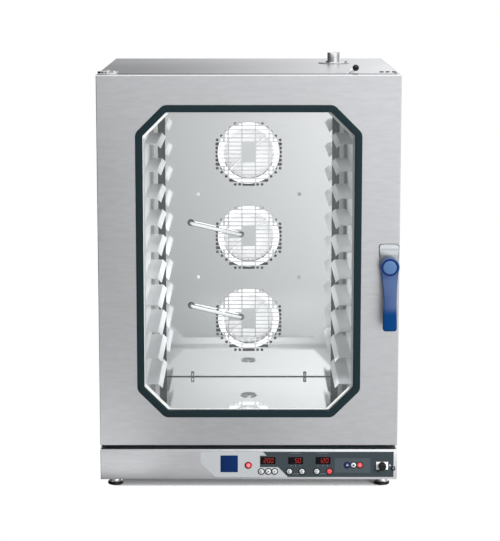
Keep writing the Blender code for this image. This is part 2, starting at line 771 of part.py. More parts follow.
def make_chamber_rear():
    """The chamber's rear sheet with the fan panel's studs, and holes for shafts, tubes and heater legs."""
    half = CHAMBER_HALF + SHEET
    loops = [rectangle((-half, half), (CHAMBER_FLOOR - SHEET, CHAMBER_TOP + SHEET))]
    for fan, z in FANS.items():
        loops.append(circle((0, z), FAN_SHAFT_HOLE))
        for radius in (HEATER_INNER, HEATER_OUTER - HEATER_TUBE):
            leg = (radius * math.cos(HEATER_START), z + radius * math.sin(HEATER_START))
            loops.append(circle(leg, HEATER_TUBE + 4 * GAP, DOT_ROUND))
        if fan in INJECTED_FANS:
            loops.append(circle((INJECTOR_START_X, z + INJECTOR_START_RISE), INJECTOR_TUBE + GAP))
    sheet = outlined("chamber_rear", loops, SHEET, (0, y_at(CHAMBER_REAR + SHEET / 2), 0), "front")
    studs = [rod("stud", STUD_RADIUS, (x, y_at(PANEL_DEPTH + SHEET + GAP), z),
                 (x, y_at(CHAMBER_REAR + SHEET / 2), z), SMALL_ROUND) for x, z in stud_places()]
    return paint(fuse(sheet, several("studs", studs)), "chamber_steel")


def make_insulation():
    """Mineral wool round the sides and top of the chamber."""
    inner = CHAMBER_HALF + SHEET + GAP
    outer = inner + INSULATION
    low, top = CHAMBER_FLOOR, CHAMBER_TOP + SHEET + GAP
    loop = [(-outer, low), (-inner, low), (-inner, top), (inner, top), (inner, low), (outer, low),
            (outer, top + INSULATION), (-outer, top + INSULATION)]
    front, rear = CABINET_DEPTH + SHEET + GAP, CHAMBER_REAR - GAP
    wool = outlined("insulation_wrap", [loop], rear - front, (0, y_at((front + rear) / 2), 0), "front")
    return paint(cut(wool, duct_cutter("wool_hole")), "mineral_wool")


def make_rack(name, side):
    """A tray rack: an upright sheet with ledges that turn down at their inner edge."""
    wall = CHAMBER_HALF - GAP
    face = wall - SHEET
    ledge_end = wall - LEDGE_WIDTH
    lip_end = ledge_end - LEDGE_LIP
    first = CHAMBER_FLOOR + FIRST_LEDGE
    last = first + (LEVELS - 1) * LEDGE_PITCH
    loop = [(wall, first - RACK_END), (wall, last + RACK_END), (face, last + RACK_END)]
    for level in reversed(range(LEVELS)):
        top = first + level * LEDGE_PITCH
        under = top - SHEET
        loop += [(face, top), (ledge_end, top), (lip_end, top - LEDGE_LIP), (lip_end, under - LEDGE_LIP),
                 (ledge_end, under), (face, under)]
    loop.append((face, first - RACK_END))
    if side < 0:
        loop = [(-x, z) for x, z in reversed(loop)]
    middle = RACK_FRONT + RACK_LENGTH / 2
    return paint(outlined(name, [loop], RACK_LENGTH, (0, y_at(middle), 0), "front"), "chamber_steel")


def make_strainer():
    """The drain's strainer: a round cap with holes, on a short spigot."""
    cap_top = GAP + DRAIN_CAP
    drop = -DRAIN_SPIGOT_RADIUS
    bore = DRAIN_SPIGOT_RADIUS - SHEET
    profile = [(0, cap_top), (DRAIN_RADIUS - DRAIN_CAP, cap_top), (DRAIN_RADIUS, GAP),
               (DRAIN_SPIGOT_RADIUS, GAP), (DRAIN_SPIGOT_RADIUS, drop), (bore, drop), (bore, GAP), (0, GAP)]
    at = (0, y_at(DRAIN_DEPTH), CHAMBER_FLOOR)
    cap = turned("drain_strainer", profile, at, "top")
    holes = []
    for step in range(DRAIN_HOLES):
        angle = 2 * math.pi * step / DRAIN_HOLES
        x, y = DRAIN_HOLE_RING * math.cos(angle), at[1] + DRAIN_HOLE_RING * math.sin(angle)
        holes.append(rod("strainer_hole", DRAIN_HOLE_RADIUS, (x, y, CHAMBER_FLOOR - SHEET),
                         (x, y, CHAMBER_FLOOR + 2 * cap_top), DOT_ROUND))
    return paint(cut(cap, several("strainer_holes", holes)), "chamber_steel")


# Fans
def grille_holes(centre):
    """The slots of one grille, with round holes where a slot would pass the grille's circle."""
    rows = int(GRILLE_RADIUS / SLOT_ROW_PITCH)
    columns = int(GRILLE_RADIUS / SLOT_COLUMN_PITCH)
    for row in range(-rows, rows):
        rise = (row + 0.5) * SLOT_ROW_PITCH
        reach = math.sqrt(GRILLE_RADIUS ** 2 - rise ** 2)
        for column in range(-columns, columns + 1):
            across = column * SLOT_COLUMN_PITCH
            if column == 0 and -BLANK_BELOW < rise < BLANK_ABOVE:
                continue
            if abs(across) + SLOT_LENGTH / 2 <= reach:
                yield rectangle(span(centre[0] + across, SLOT_LENGTH), span(centre[1] + rise, SLOT_WIDTH))
                continue
            for dot in (-1, 0, 1):
                x = across + dot * DOT_PITCH
                if abs(x) + DOT_RADIUS <= reach:
                    yield circle((centre[0] + x, centre[1] + rise), DOT_RADIUS, DOT_ROUND)


def make_fan_panel():
    """The panel that hides the fans: a sheet with a slotted grille in front of each wheel."""
    half = CHAMBER_HALF - PANEL_SIDE_GAP
    outer = rectangle((-half, half), (CHAMBER_FLOOR + PANEL_END_GAP, CHAMBER_TOP - PANEL_END_GAP))
    loops = [outer]
    tube_hole = INJECTOR_TUBE + GAP
    for fan, z in FANS.items():
        tip = (INJECTOR_TIP_X, z + INJECTOR_TIP_RISE)
        injected = fan in INJECTED_FANS
        for hole in grille_holes((0, z)):
            if injected and near(hole, tip, tube_hole + SHEET):
                continue
            loops.append(hole)
        if injected:
            loops.append(circle(tip, tube_hole))
            loops.append(circle((INJECTOR_START_X, z + INJECTOR_START_RISE), tube_hole))
    panel = outlined("fan_panel", loops, SHEET, (0, y_at(PANEL_DEPTH + SHEET / 2), 0), "front")
    return paint(panel, "chamber_steel")


def near(loop, point, distance):
    """Whether an outline's box comes within a distance of a point."""
    xs = [x for x, z in loop]
    zs = [z for x, z in loop]
    aside = max(min(xs) - point[0], point[0] - max(xs))
    above = max(min(zs) - point[1], point[1] - max(zs))
    return max(aside, above) < distance


def make_fan_wheel(name, z):
    """A blower wheel: a back disc, swept blades, an inlet ring, and a hub on the motor's shaft."""
    front = PANEL_DEPTH + SHEET + WHEEL_PANEL_GAP
    back = front + WHEEL_LENGTH
    hub_front = back - WHEEL_LENGTH / 2
    shaft_end = CHAMBER_REAR + SHEET + FAN_SHAFT_GRIP

    def axial(depth):
        return (0, y_at(depth), z)

    wheel = rod(name, WHEEL_RADIUS, axial(back - WHEEL_SHEET), axial(back))
    middle = (0, y_at(front + WHEEL_SHEET / 2), z)
    rings = [circle((0, 0), radius, ROUND) for radius in (WHEEL_RADIUS, WHEEL_INLET_RADIUS)]
    inlet = outlined("inlet_ring", rings, WHEEL_SHEET, middle, "front")
    bm = bmesh.new()
    chord = WHEEL_RADIUS - WHEEL_INLET_RADIUS - 2 * WHEEL_SHEET
    size = Matrix.Diagonal((chord, WHEEL_LENGTH - WHEEL_SHEET, WHEEL_SHEET, 1.0))
    mid_radius = (WHEEL_RADIUS + WHEEL_INLET_RADIUS) / 2
    for blade in range(WHEEL_BLADES):
        turn = Matrix.Rotation(2 * math.pi * blade / WHEEL_BLADES, 4, "Y")
        out = Matrix.Translation((mid_radius, 0, 0))
        sweep = Matrix.Rotation(BLADE_SWEEP, 4, "Y")
        bmesh.ops.create_cube(bm, size=1.0, matrix=turn @ out @ sweep @ size)
    blades = from_bmesh("blades", bm, axial((front + back) / 2))
    hub = rod("wheel_hub", HUB_WHEEL_RADIUS, axial(hub_front), axial(back - WHEEL_SHEET / 2))
    shaft = rod("wheel_shaft", FAN_SHAFT_RADIUS, axial(back - WHEEL_SHEET / 2), axial(shaft_end))
    return paint(fuse(wheel, blades, inlet, hub, shaft), "chamber_steel")


def make_motor(name, z):
    """A fan motor on the back of the chamber, with a flange and a bore for the shaft."""
    front = -GAP
    flange = front - MOTOR_FLANGE
    back = front - MOTOR_LENGTH
    bore = FAN_SHAFT_RADIUS + GAP
    bore_end = front - FAN_SHAFT_GRIP - 2 * GAP
    profile = [(bore, front), (MOTOR_FLANGE_RADIUS, front), (MOTOR_FLANGE_RADIUS, flange),
               (MOTOR_RADIUS, flange), (MOTOR_RADIUS, back + MOTOR_NOSE), (MOTOR_RADIUS - MOTOR_NOSE, back),
               (0, back), (0, bore_end), (bore, bore_end)]
    return paint(turned(name, profile, (0, y_at(CHAMBER_REAR + SHEET), z), "front"), "motor_paint")


def heater_route(z):
    """A conical coil round the wheel, with both ends led straight back through the rear wall."""
    leg_end = CHAMBER_REAR + SHEET + HEATER_LEG_PROUD
    coil_back = CHAMBER_REAR - HEATER_REAR_GAP
    steps = HEATER_TURNS * HEATER_POINTS
    coil = []
    for step in range(steps + 1):
        turn = step / HEATER_POINTS
        angle = HEATER_START + 2 * math.pi * turn
        radius = HEATER_INNER + HEATER_STEP * turn
        depth = coil_back - HEATER_ADVANCE * turn
        coil.append((radius * math.cos(angle), y_at(depth), z + radius * math.sin(angle)))
    start = (coil[0][0], y_at(leg_end), coil[0][2])
    end = (coil[-1][0], y_at(leg_end), coil[-1][2])
    return [start] + coil + [end]


def least_gap(route, radius):
    """The least gap of a coiled tube to itself, measured on points along its route."""
    points = []
    for start, end in zip(route, route[1:]):
        points += [Vector(start).lerp(Vector(end), step / GAP_SAMPLES) for step in range(GAP_SAMPLES)]
    half_turn = GAP_SAMPLES * HEATER_POINTS // 2
    pairs = ((first, second) for index, first in enumerate(points) for second in points[index + half_turn:])
    return min((first - second).length for first, second in pairs) - 2 * radius


def make_heater(name, z):
    """A heater coil round a wheel. Its least gap to itself is printed in millimetres."""
    route = heater_route(z)
    print(f"{name}: least gap {least_gap(route, HEATER_TUBE) * 1000:.2f} mm")
    return paint(tube(name, route, HEATER_TUBE, 1), "heater_metal")


def make_injector(name, z):
    """A water tube from the rear wall through the panel, across to the fan's hub."""
    start_z = z + INJECTOR_START_RISE
    tip_z = z + INJECTOR_TIP_RISE
    front = PANEL_DEPTH - INJECTOR_STANDOFF
    bend = INJECTOR_TUBE
    route = [(INJECTOR_START_X, CHAMBER_REAR + SHEET + HEATER_LEG_PROUD, start_z),
             (INJECTOR_START_X, front + 2 * bend, start_z),
             (INJECTOR_START_X + bend / 2, front + bend / 2, start_z),
             (INJECTOR_START_X + 2 * bend, front, start_z - bend / 2),
             (INJECTOR_TIP_X - 2 * bend, front, tip_z + bend / 2),
             (INJECTOR_TIP_X - bend / 2, front + bend / 2, tip_z),
             (INJECTOR_TIP_X, front + 2 * bend, tip_z),
             (INJECTOR_TIP_X, PANEL_DEPTH + SHEET + INJECTOR_TAIL, tip_z)]
    return paint(tube(name, [(x, y_at(depth), z) for x, depth, z in route], INJECTOR_TUBE), "chamber_steel")


def make_water_valve():
    """The inlet valve on the inside of the rear panel, with its threaded inlet outside."""
    z = FOOT_HEIGHT + VALVE_RISE
    inside = DEPTH - SHEET - GAP
    body = box("water_valve", span(VALVE_X, VALVE_WIDTH), depths(inside - VALVE_LENGTH, inside),
               span(z, VALVE_HEIGHT))
    end = DEPTH + REAR_REACH
    inlet = rod("inlet", INLET_RADIUS, (VALVE_X, y_at(inside - SHEET), z), (VALVE_X, y_at(end), z))
    bore = rod("inlet_bore", INLET_BORE, (VALVE_X, y_at(end - REAR_REACH), z),
               (VALVE_X, y_at(end + SHEET), z))
    return paint(cut(fuse(body, inlet), bore), "brass")


# Door
def make_door_skin():
    """The door's outer pan: front and folded edges, with the window, pin and spindle holes."""
    skin = open_box("door_skin", (-HALF, HALF), depths(0, DOOR_THICKNESS), (DOOR_BOTTOM, HEIGHT), (0, 1, 0),
                    SHEET)
    window = outlined("skin_window", [window_outline(RUBBER_LAP)], 4 * SHEET, (0, y_at(0), DOOR_MIDDLE),
                      "front")
    pin = (PIN_X, y_at(PIN_SETBACK))
    pins = rod("pin_holes", PIN_RADIUS + GAP, (*pin, DOOR_BOTTOM - PIN_LENGTH), (*pin, HEIGHT + PIN_LENGTH))
    spindle = spindle_hole("skin_spindle", -SHEET, 2 * SHEET)
    return paint(cut(skin, window, pins, spindle), "brushed_steel")


def spindle_hole(name, front, back):
    return rod(name, SPINDLE_RADIUS + GAP, (HANDLE_X, y_at(front), HANDLE_Z),
               (HANDLE_X, y_at(back), HANDLE_Z))


def make_inner_pan():
    """The sheet that closes the door's back, with a window of its own."""
    front = INNER_PAN_DEPTH - INNER_PAN_FOLD
    edge = SHEET + GAP
    pan = open_box("door_inner_pan", (-INSIDE, INSIDE), depths(front, INNER_PAN_DEPTH),
                   (DOOR_BOTTOM + edge, HEIGHT - edge), (0, -1, 0), SHEET)
    half = CHAMBER_HALF - PAN_WINDOW_INSET
    z = (CHAMBER_FLOOR + PAN_WINDOW_INSET, CHAMBER_TOP - PAN_WINDOW_INSET)
    cut_front, cut_back = INNER_PAN_DEPTH - 2 * SHEET, INNER_PAN_DEPTH + SHEET
    window = box("pan_window", (-half, half), depths(cut_front, cut_back), z)
    spindle = spindle_hole("pan_spindle", cut_front, cut_back)
    return paint(cut(pan, window, spindle), "chamber_steel")


def make_window_rubber():
    """The glazing rubber: one groove for the door's skin and one for the glass."""
    front, back = -RUBBER_PROUD, RUBBER_DEPTH
    middle = (0, y_at((front + back) / 2), DOOR_MIDDLE)
    band = outlined("window_gasket", [window_outline(0), window_outline(RUBBER_BAND)], back - front, middle,
                    "front")
    skin_groove = outlined("skin_groove", [window_outline(-RUBBER_BAND), window_outline(RUBBER_LAP + GAP)],
                           SHEET + 2 * GAP, (0, y_at(SHEET / 2), DOOR_MIDDLE), "front")
    glass_middle = GLASS_SETBACK + GLASS / 2
    glass_loops = [window_outline(RUBBER_BAND - RUBBER_LAP), window_outline(2 * RUBBER_BAND)]
    glass_groove = outlined("glass_groove", glass_loops, GLASS + 2 * GAP,
                            (0, y_at(glass_middle), DOOR_MIDDLE), "front")
    return paint(cut(band, skin_groove, glass_groove), "rubber")


def make_outer_glass():
    edge = window_outline(RUBBER_BAND - RUBBER_LAP + GAP)
    middle = GLASS_SETBACK + GLASS / 2
    return paint(outlined("outer_glass", [edge], GLASS, (0, y_at(middle), DOOR_MIDDLE), "front"), "glass")


def make_inner_glass():
    """The inner pane, on the chamber side of the inner pan."""
    lap = INNER_GLASS_LAP - PAN_WINDOW_INSET
    half = CHAMBER_HALF + lap
    z = (CHAMBER_FLOOR - lap, CHAMBER_TOP + lap)
    edge = rounded(rectangle((-half, half), z), INNER_GLASS_LAP)
    middle = INNER_PAN_DEPTH + GAP + INNER_GLASS / 2
    return paint(outlined("inner_glass", [edge], INNER_GLASS, (0, y_at(middle), 0), "front"), "glass")


def make_door_seal():
    """The rubber ring on the front frame that the closed door presses on."""
    loops = []
    for offset in (SEAL_OFFSET + SEAL_WIDTH, SEAL_OFFSET):
        half = CHAMBER_HALF + offset
        z = (CHAMBER_FLOOR - offset, CHAMBER_TOP + offset)
        loops.append(rounded(rectangle((-half, half), z), SEAL_CORNER))
    front, back = INNER_PAN_DEPTH + GAP, FRAME_DEPTH - GAP
    seal = outlined("door_seal", loops, back - front, (0, y_at((front + back) / 2), 0), "front")
    return paint(seal, "seal_rubber")


def hinge_pin(name, z):
    pin = (PIN_X, y_at(PIN_SETBACK))
    return rod(name, PIN_RADIUS, (*pin, z[0]), (*pin, z[1]))


def make_upper_hinge():
    """A plate on the cabinet's top that reaches over the door, with a pin down into it."""
    x = (-HALF + HINGE_EDGE, -HALF + HINGE_EDGE + HINGE_WIDTH)
    z = (HEIGHT + GAP, HEIGHT + GAP + HINGE_PLATE)
    plate = box("upper_hinge", x, depths(HINGE_FRONT, CABINET_DEPTH + HINGE_SEAT_LENGTH), z)
    pin = hinge_pin("upper_pin", (HEIGHT - PIN_LENGTH, z[0] + HINGE_PLATE / 2))
    return paint(fuse(plate, pin), "brushed_steel")


def make_lower_hinge():
    """A bracket on the front frame that carries the door's lower edge, with a pin up into it."""
    x = (-HALF + HINGE_EDGE, -HALF + HINGE_EDGE + HINGE_WIDTH)
    z = (DOOR_BOTTOM - GAP - HINGE_PLATE, DOOR_BOTTOM - GAP)
    plate = box("lower_hinge", x, depths(HINGE_FRONT, FRAME_DEPTH - GAP), z)
    pin = hinge_pin("lower_pin", (z[0] + HINGE_PLATE / 2, DOOR_BOTTOM + PIN_LENGTH))
    return paint(fuse(plate, pin), "brushed_steel")


# Handle and latch
def make_backplate():
    """The handle's rose, a plate with round corners."""
    z = (HANDLE_Z - BACKPLATE_BELOW, HANDLE_Z + BACKPLATE_ABOVE)
    corners = rectangle(span(HANDLE_X, BACKPLATE_WIDTH), z)
    hole = circle((HANDLE_X, HANDLE_Z), SPINDLE_RADIUS + GAP, ROUND)
    middle = -GAP - BACKPLATE_THICK / 2
    plate = outlined("handle_backplate", [rounded(corners, BACKPLATE_CORNER), hole], BACKPLATE_THICK,
                     (0, y_at(middle), 0), "front")
    return paint(plate, "chrome")


def section(bm, centre, width, thickness):
    """A ring of points with soft corners, flat in Z, for the lever's loft."""
    loop = rounded(rectangle(span(0, width), span(0, thickness)), LEVER_CORNER)
    points = [bm.verts.new((centre[0] + x, centre[1] + y, centre[2])) for x, y in loop]
    return [bm.edges.new((points[index - 1], points[index])) for index in range(len(points))]


def make_lever():
    """The lever: a round hub with an arm that leans out as it goes down, then hangs straight."""
    hub_back = -2 * GAP - BACKPLATE_THICK
    hub_front = hub_back - HUB_LENGTH
    hub = rod("handle_lever", HUB_RADIUS, (HANDLE_X, y_at(hub_back), HANDLE_Z),
              (HANDLE_X, y_at(hub_front), HANDLE_Z))
    arm_near = hub_front + LEVER_THICK / 2 + SHEET
    arm_far = -HANDLE_REACH + LEVER_THICK / 2
    knee = LEVER_KNEE
    half_knee = (LEVER_SHOULDER + knee) / 2
    stations = [
        (LEVER_SHOULDER / 2, LEVER_ROOT_WIDTH, 0.0),
        (LEVER_SHOULDER, LEVER_ROOT_WIDTH, LEVER_SHOULDER_LEAN),
        (half_knee, LEVER_WAIST, (LEVER_SHOULDER_LEAN + LEVER_KNEE_LEAN) / 2),
        (knee, LEVER_WAIST, LEVER_KNEE_LEAN),
        ((knee + LEVER_LENGTH) / 2, LEVER_TIP_WIDTH, 1.0),
        (LEVER_LENGTH - LEVER_TIP_ROUND, LEVER_TIP_WIDTH, 1.0),
        (LEVER_LENGTH, LEVER_TIP_WIDTH - 2 * LEVER_TIP_ROUND, 1.0),
    ]
    bm = bmesh.new()
    rings = []
    for drop, width, lean in stations:
        depth = arm_near + (arm_far - arm_near) * lean
        rings.append(section(bm, (0, depth - hub_back, -drop), width, LEVER_THICK))
    for upper, lower in zip(rings, rings[1:]):
        bmesh.ops.bridge_loops(bm, edges=upper + lower)
    bmesh.ops.holes_fill(bm, edges=rings[0] + rings[-1], sides=0)
    bmesh.ops.recalc_face_normals(bm, faces=bm.faces)
    arm = smooth(from_bmesh("lever_arm", bm, (HANDLE_X, y_at(hub_back), HANDLE_Z)))
    cap = rod("hub_cap", HUB_CAP_RADIUS, (HANDLE_X, y_at(hub_front + SHEET), HANDLE_Z),
              (HANDLE_X, y_at(hub_front - HUB_CAP_PROUD), HANDLE_Z))
    socket = spindle_hole("spindle_socket", hub_back - SPINDLE_SOCKET - GAP, hub_back + SHEET)
    return paint(cut(fuse(hub, arm, cap), socket), "blue_plastic")


def make_spindle():
    """The handle's spindle, with the latch cam on its inner end."""
    front = -2 * GAP - BACKPLATE_THICK - SPINDLE_SOCKET
    back = FRAME_DEPTH - CAM_SETBACK
    spindle = rod("latch_spindle", SPINDLE_RADIUS, (HANDLE_X, y_at(front), HANDLE_Z),
                  (HANDLE_X, y_at(back + SHEET), HANDLE_Z))
    cam = box("cam", (HANDLE_X - CAM_LENGTH, HANDLE_X), depths(back - CAM_THICK, back),
              span(HANDLE_Z, CAM_HEIGHT))
    return paint(fuse(spindle, cam), "chrome")


# Control fascia
def rise(height):
    """A height on the fascia, measured from its lower edge."""
    return FOOT_HEIGHT + height


def button_places():
    """Name, x and z of each button, with its finish."""
    colours = ["white_plastic"] * (len(BUTTONS_X) - 1) + ["red_plastic"]
    for index, (x, colour) in enumerate(zip(BUTTONS_X, colours), 1):
        yield f"button_{index}", x, rise(BUTTON_RISE), colour
    modes = ("mode_blue", "white_plastic", "red_plastic")
    for index, (x, colour) in enumerate(zip(MODE_BUTTONS_X, modes), 1):
        yield f"mode_button_{index}", x, rise(MODE_BUTTON_RISE), colour


def control_holes():
    """The outlines that the overlay and the fascia share: displays and buttons."""
    display_z = span(rise(DISPLAY_RISE), DISPLAY_HEIGHT)
    loops = [rectangle(span(x, DISPLAY_WIDTH), display_z) for x in DISPLAYS_X]
    loops += [circle((x, z), BUTTON_RADIUS + GAP) for name, x, z, colour in button_places()]
    loops.append(circle((LAMP_X, rise(LAMP_RISE)), LAMP_STEM_RADIUS + GAP))
    loops.append(circle((PROBE_X, rise(PROBE_RISE)), PROBE_STEM_RADIUS + GAP))
    return loops


def make_fascia():
    """The fascia: a folded pan across the front, with holes for the controls."""
    pan = open_box("control_fascia", (-HALF, HALF), depths(0, FRAME_DEPTH - GAP), (FOOT_HEIGHT, FASCIA_TOP),
                   (0, 1, 0), SHEET)
    face = (0, y_at(0), 0)
    holes = [outlined("control_hole", [loop], 4 * SHEET, face, "front") for loop in control_holes()]
    relief_y = depths(BASE_SETBACK - GAP, FRAME_DEPTH + SHEET)
    underside = box("base_relief", (-HALF + SHEET, HALF - SHEET), relief_y,
                    (FOOT_HEIGHT - SHEET, FOOT_HEIGHT + 2 * SHEET))
    return paint(cut(pan, several("control_holes", holes), underside), "brushed_steel")


def make_overlay():
    """The printed film on the fascia, with a slanted corner at its left."""
    low, high = FOOT_HEIGHT + OVERLAY_MARGIN_Z, FASCIA_TOP - OVERLAY_MARGIN_Z
    edge = [(OVERLAY_LEFT + OVERLAY_CORNER, low), (OVERLAY_RIGHT, low), (OVERLAY_RIGHT, high),
            (OVERLAY_LEFT, high), (OVERLAY_LEFT, low + OVERLAY_CORNER)]
    middle = -GAP - OVERLAY_SHEET / 2
    film = outlined("panel_overlay", [edge] + control_holes(), OVERLAY_SHEET, (0, y_at(middle), 0), "front")
    return paint(film, "overlay_film")


def make_button(name, x, z, colour):
    """A push button that a flange keeps behind the fascia. Its height runs towards the front."""
    flange_front = -SHEET - GAP
    flange_back = flange_front - BUTTON_FLANGE_THICK
    flange = BUTTON_RADIUS + BUTTON_FLANGE
    crown = BUTTON_PROUD + BUTTON_DOME
    profile = [(0, crown), (BUTTON_RADIUS - BUTTON_EDGE, crown), (BUTTON_RADIUS, BUTTON_PROUD),
               (BUTTON_RADIUS, flange_front), (flange, flange_front),
               (flange, flange_back), (0, flange_back)]
    return paint(turned(name, profile, (x, y_at(0), z), "front", SMALL_ROUND), colour)


def make_board():
    """The control board behind the fascia, with displays, a switch under each button, and standoffs."""
    back = BOARD_SETBACK + BOARD_SHEET
    z = (FOOT_HEIGHT + BOARD_MARGIN_Z, FASCIA_TOP - BOARD_MARGIN_Z)
    board = box("control_board", (BOARD_LEFT, BOARD_RIGHT), depths(BOARD_SETBACK, back), z)
    inside = back - BOARD_SHEET / 2
    parts = []
    for x in DISPLAYS_X:
        parts.append(box("display", span(x, DISPLAY_WIDTH - 2 * GAP), depths(DISPLAY_RECESS, inside),
                         span(rise(DISPLAY_RISE), DISPLAY_HEIGHT - 2 * GAP)))
    switch_front = SHEET + BUTTON_FLANGE_THICK + 2 * GAP + BUTTON_TRAVEL
    for name, x, button_z, colour in button_places():
        parts.append(box("switch", span(x, SWITCH_SIZE), depths(switch_front, inside),
                         span(button_z, SWITCH_SIZE)))
    for x in (BOARD_LEFT + STANDOFF_INSET, BOARD_RIGHT - STANDOFF_INSET):
        for end in (z[0] + STANDOFF_INSET, z[1] - STANDOFF_INSET):
            parts.append(rod("standoff", STANDOFF_RADIUS, (x, y_at(SHEET + GAP), end),
                             (x, y_at(inside), end), SMALL_ROUND))
    return paint(fuse(board, several("board_parts", parts)), "board_green")


def make_lamp():
    """The red lamp: a domed lens on a stem through the fascia. Its height runs towards the front."""
    seat = OVERLAY_SHEET + 2 * GAP
    back = -SHEET - LAMP_PROUD
    dome = []
    for step in range(LAMP_DOME_STEPS + 1):
        angle = math.pi / 2 * step / LAMP_DOME_STEPS
        height = seat + LAMP_RIM + (LAMP_PROUD - LAMP_RIM) * math.cos(angle)
        dome.append((LAMP_RADIUS * math.sin(angle), height))
    profile = dome + [(LAMP_RADIUS, seat), (LAMP_STEM_RADIUS, seat), (LAMP_STEM_RADIUS, back), (0, back)]
    return paint(turned("power_lamp", profile, (LAMP_X, y_at(0), rise(LAMP_RISE)), "front"), "red_plastic")


def make_probe_socket():
    """The probe's socket: a small plate with a neck for its cap and a stem through the fascia."""
    seat = -OVERLAY_SHEET - 2 * GAP
    face = seat - PROBE_PLATE_SHEET
    z = rise(PROBE_RISE)
    plate = box("probe_socket", span(PROBE_X, PROBE_PLATE_WIDTH), depths(face, seat),
                span(z, PROBE_PLATE_HEIGHT))
    neck = rod("probe_neck", PROBE_NECK_RADIUS, (PROBE_X, y_at(face - PROBE_NECK_LENGTH), z),
               (PROBE_X, y_at(face + SHEET / 2), z))
    stem = rod("probe_stem", PROBE_STEM_RADIUS, (PROBE_X, y_at(seat - SHEET / 2), z),
               (PROBE_X, y_at(PROBE_STEM_LENGTH), z))
    return paint(fuse(plate, neck, stem), "chrome")


def make_probe_cap():
    """The black cap over the probe's socket, a cup with a gripping rim."""
    back = OVERLAY_SHEET + 2 * GAP + PROBE_PLATE_SHEET + GAP
    front = back + CAP_LENGTH
    bore = PROBE_NECK_RADIUS + GAP
    bore_end = back + PROBE_NECK_LENGTH
    edge = CAP_RADIUS - SHEET
    profile = [(0, front), (edge, front), (CAP_RADIUS, front - SHEET), (CAP_RADIUS, back), (bore, back),
               (bore, bore_end), (0, bore_end)]
    cap = turned("probe_cap", profile, (PROBE_X, y_at(0), rise(PROBE_RISE)), "front", CAP_FLATS)
    return paint(cap, "black_plastic")


# Chimney and damper
def make_chimney():
    """The steam outlet: a pipe from the chamber's ceiling, with a flange on the top panel."""
    low, high = CHAMBER_TOP, HEIGHT + CHIMNEY_PROUD
    seat = HEIGHT + GAP
    inner = CHIMNEY_RADIUS - CHIMNEY_WALL
    flange_top = seat + CHIMNEY_FLANGE
    profile = [(inner, high), (CHIMNEY_RADIUS, high), (CHIMNEY_RADIUS, flange_top),
               (CHIMNEY_FLANGE_RADIUS, flange_top), (CHIMNEY_FLANGE_RADIUS, seat), (CHIMNEY_RADIUS, seat),
               (CHIMNEY_RADIUS, low), (inner, low)]
    y = y_at(CHIMNEY_DEPTH)
    pipe = turned("chimney", profile, (CHIMNEY_X, y, 0), "top")
    shaft = rod("damper_hole", DAMPER_SHAFT_RADIUS + GAP, (CHIMNEY_X, y - 2 * CHIMNEY_RADIUS, DAMPER_Z),
                (CHIMNEY_X, y + 2 * CHIMNEY_RADIUS, DAMPER_Z), SMALL_ROUND)
    return paint(cut(pipe, shaft), "brushed_steel")


def lever_point(distance):
    """A point on the damper's lever, a distance from the shaft."""
    return (CHIMNEY_X + distance * math.sin(DAMPER_LEAN), y_at(DAMPER_LEVER_DEPTH),
            DAMPER_Z + distance * math.cos(DAMPER_LEAN))


def make_damper_shaft():
    """The damper's shaft from the top panel's front fold to the chimney, with its lever and flap."""
    front, back = CABINET_DEPTH + GAP, CHIMNEY_DEPTH + CHIMNEY_RADIUS + DAMPER_TAIL
    shaft = rod("damper_shaft", DAMPER_SHAFT_RADIUS, (CHIMNEY_X, y_at(front), DAMPER_Z),
                (CHIMNEY_X, y_at(back), DAMPER_Z), SMALL_ROUND)
    lever = rod("damper_rod", DAMPER_ROD_RADIUS, lever_point(0), lever_point(DAMPER_LEVER_LENGTH),
                SMALL_ROUND)
    flap_radius = CHIMNEY_RADIUS - CHIMNEY_WALL - FLAP_CLEARANCE
    middle = (CHIMNEY_X, y_at(CHIMNEY_DEPTH))
    flap = rod("flap", flap_radius, (*middle, DAMPER_Z - FLAP_THICK / 2),
               (*middle, DAMPER_Z + FLAP_THICK / 2))
    return paint(fuse(shaft, lever, flap), "chrome")


def make_damper_knob():
    """The black ball on the damper's lever."""
    bm = bmesh.new()
    bmesh.ops.create_uvsphere(bm, u_segments=SMALL_ROUND, v_segments=SMALL_ROUND // 2,
                              radius=DAMPER_BALL_RADIUS)
    centre = DAMPER_LEVER_LENGTH + DAMPER_BALL_RADIUS - DAMPER_GRIP
    ball = smooth(from_bmesh("damper_knob", bm, lever_point(centre)))
    bore = rod("knob_bore", DAMPER_ROD_RADIUS + GAP, lever_point(DAMPER_LEVER_LENGTH - 2 * DAMPER_GRIP),
               lever_point(DAMPER_LEVER_LENGTH + GAP), SMALL_ROUND)
    return paint(cut(ball, bore), "black_plastic")


# Assembly
def axis_empty(name, place, parent=None):
    """An empty on a joint's axis, which its moving pieces hang from."""
    empty = bpy.data.objects.new(name, None)
    empty.location = place
    PARTS.objects.link(empty)
    if parent:
        carry(parent, empty)
    return empty


def carry(parent, *children):
    """Parents pieces to an empty and leaves them where they are."""
    bpy.context.view_layer.update()
    for child in children:
        child.parent = parent
        child.matrix_parent_inverse = parent.matrix_world.inverted()


def build_cabinet():
    for name, x, depth in foot_places():
        make_foot(name, x, depth)
    make_base_pan()
    make_side_panel("left_side_panel", -1)
    make_side_panel("right_side_panel", 1)
    make_rear_panel()
    make_top_panel()
    make_front_frame()
    make_upper_hinge()
    make_lower_hinge()
    make_door_seal()
    make_water_valve()
    make_chimney()


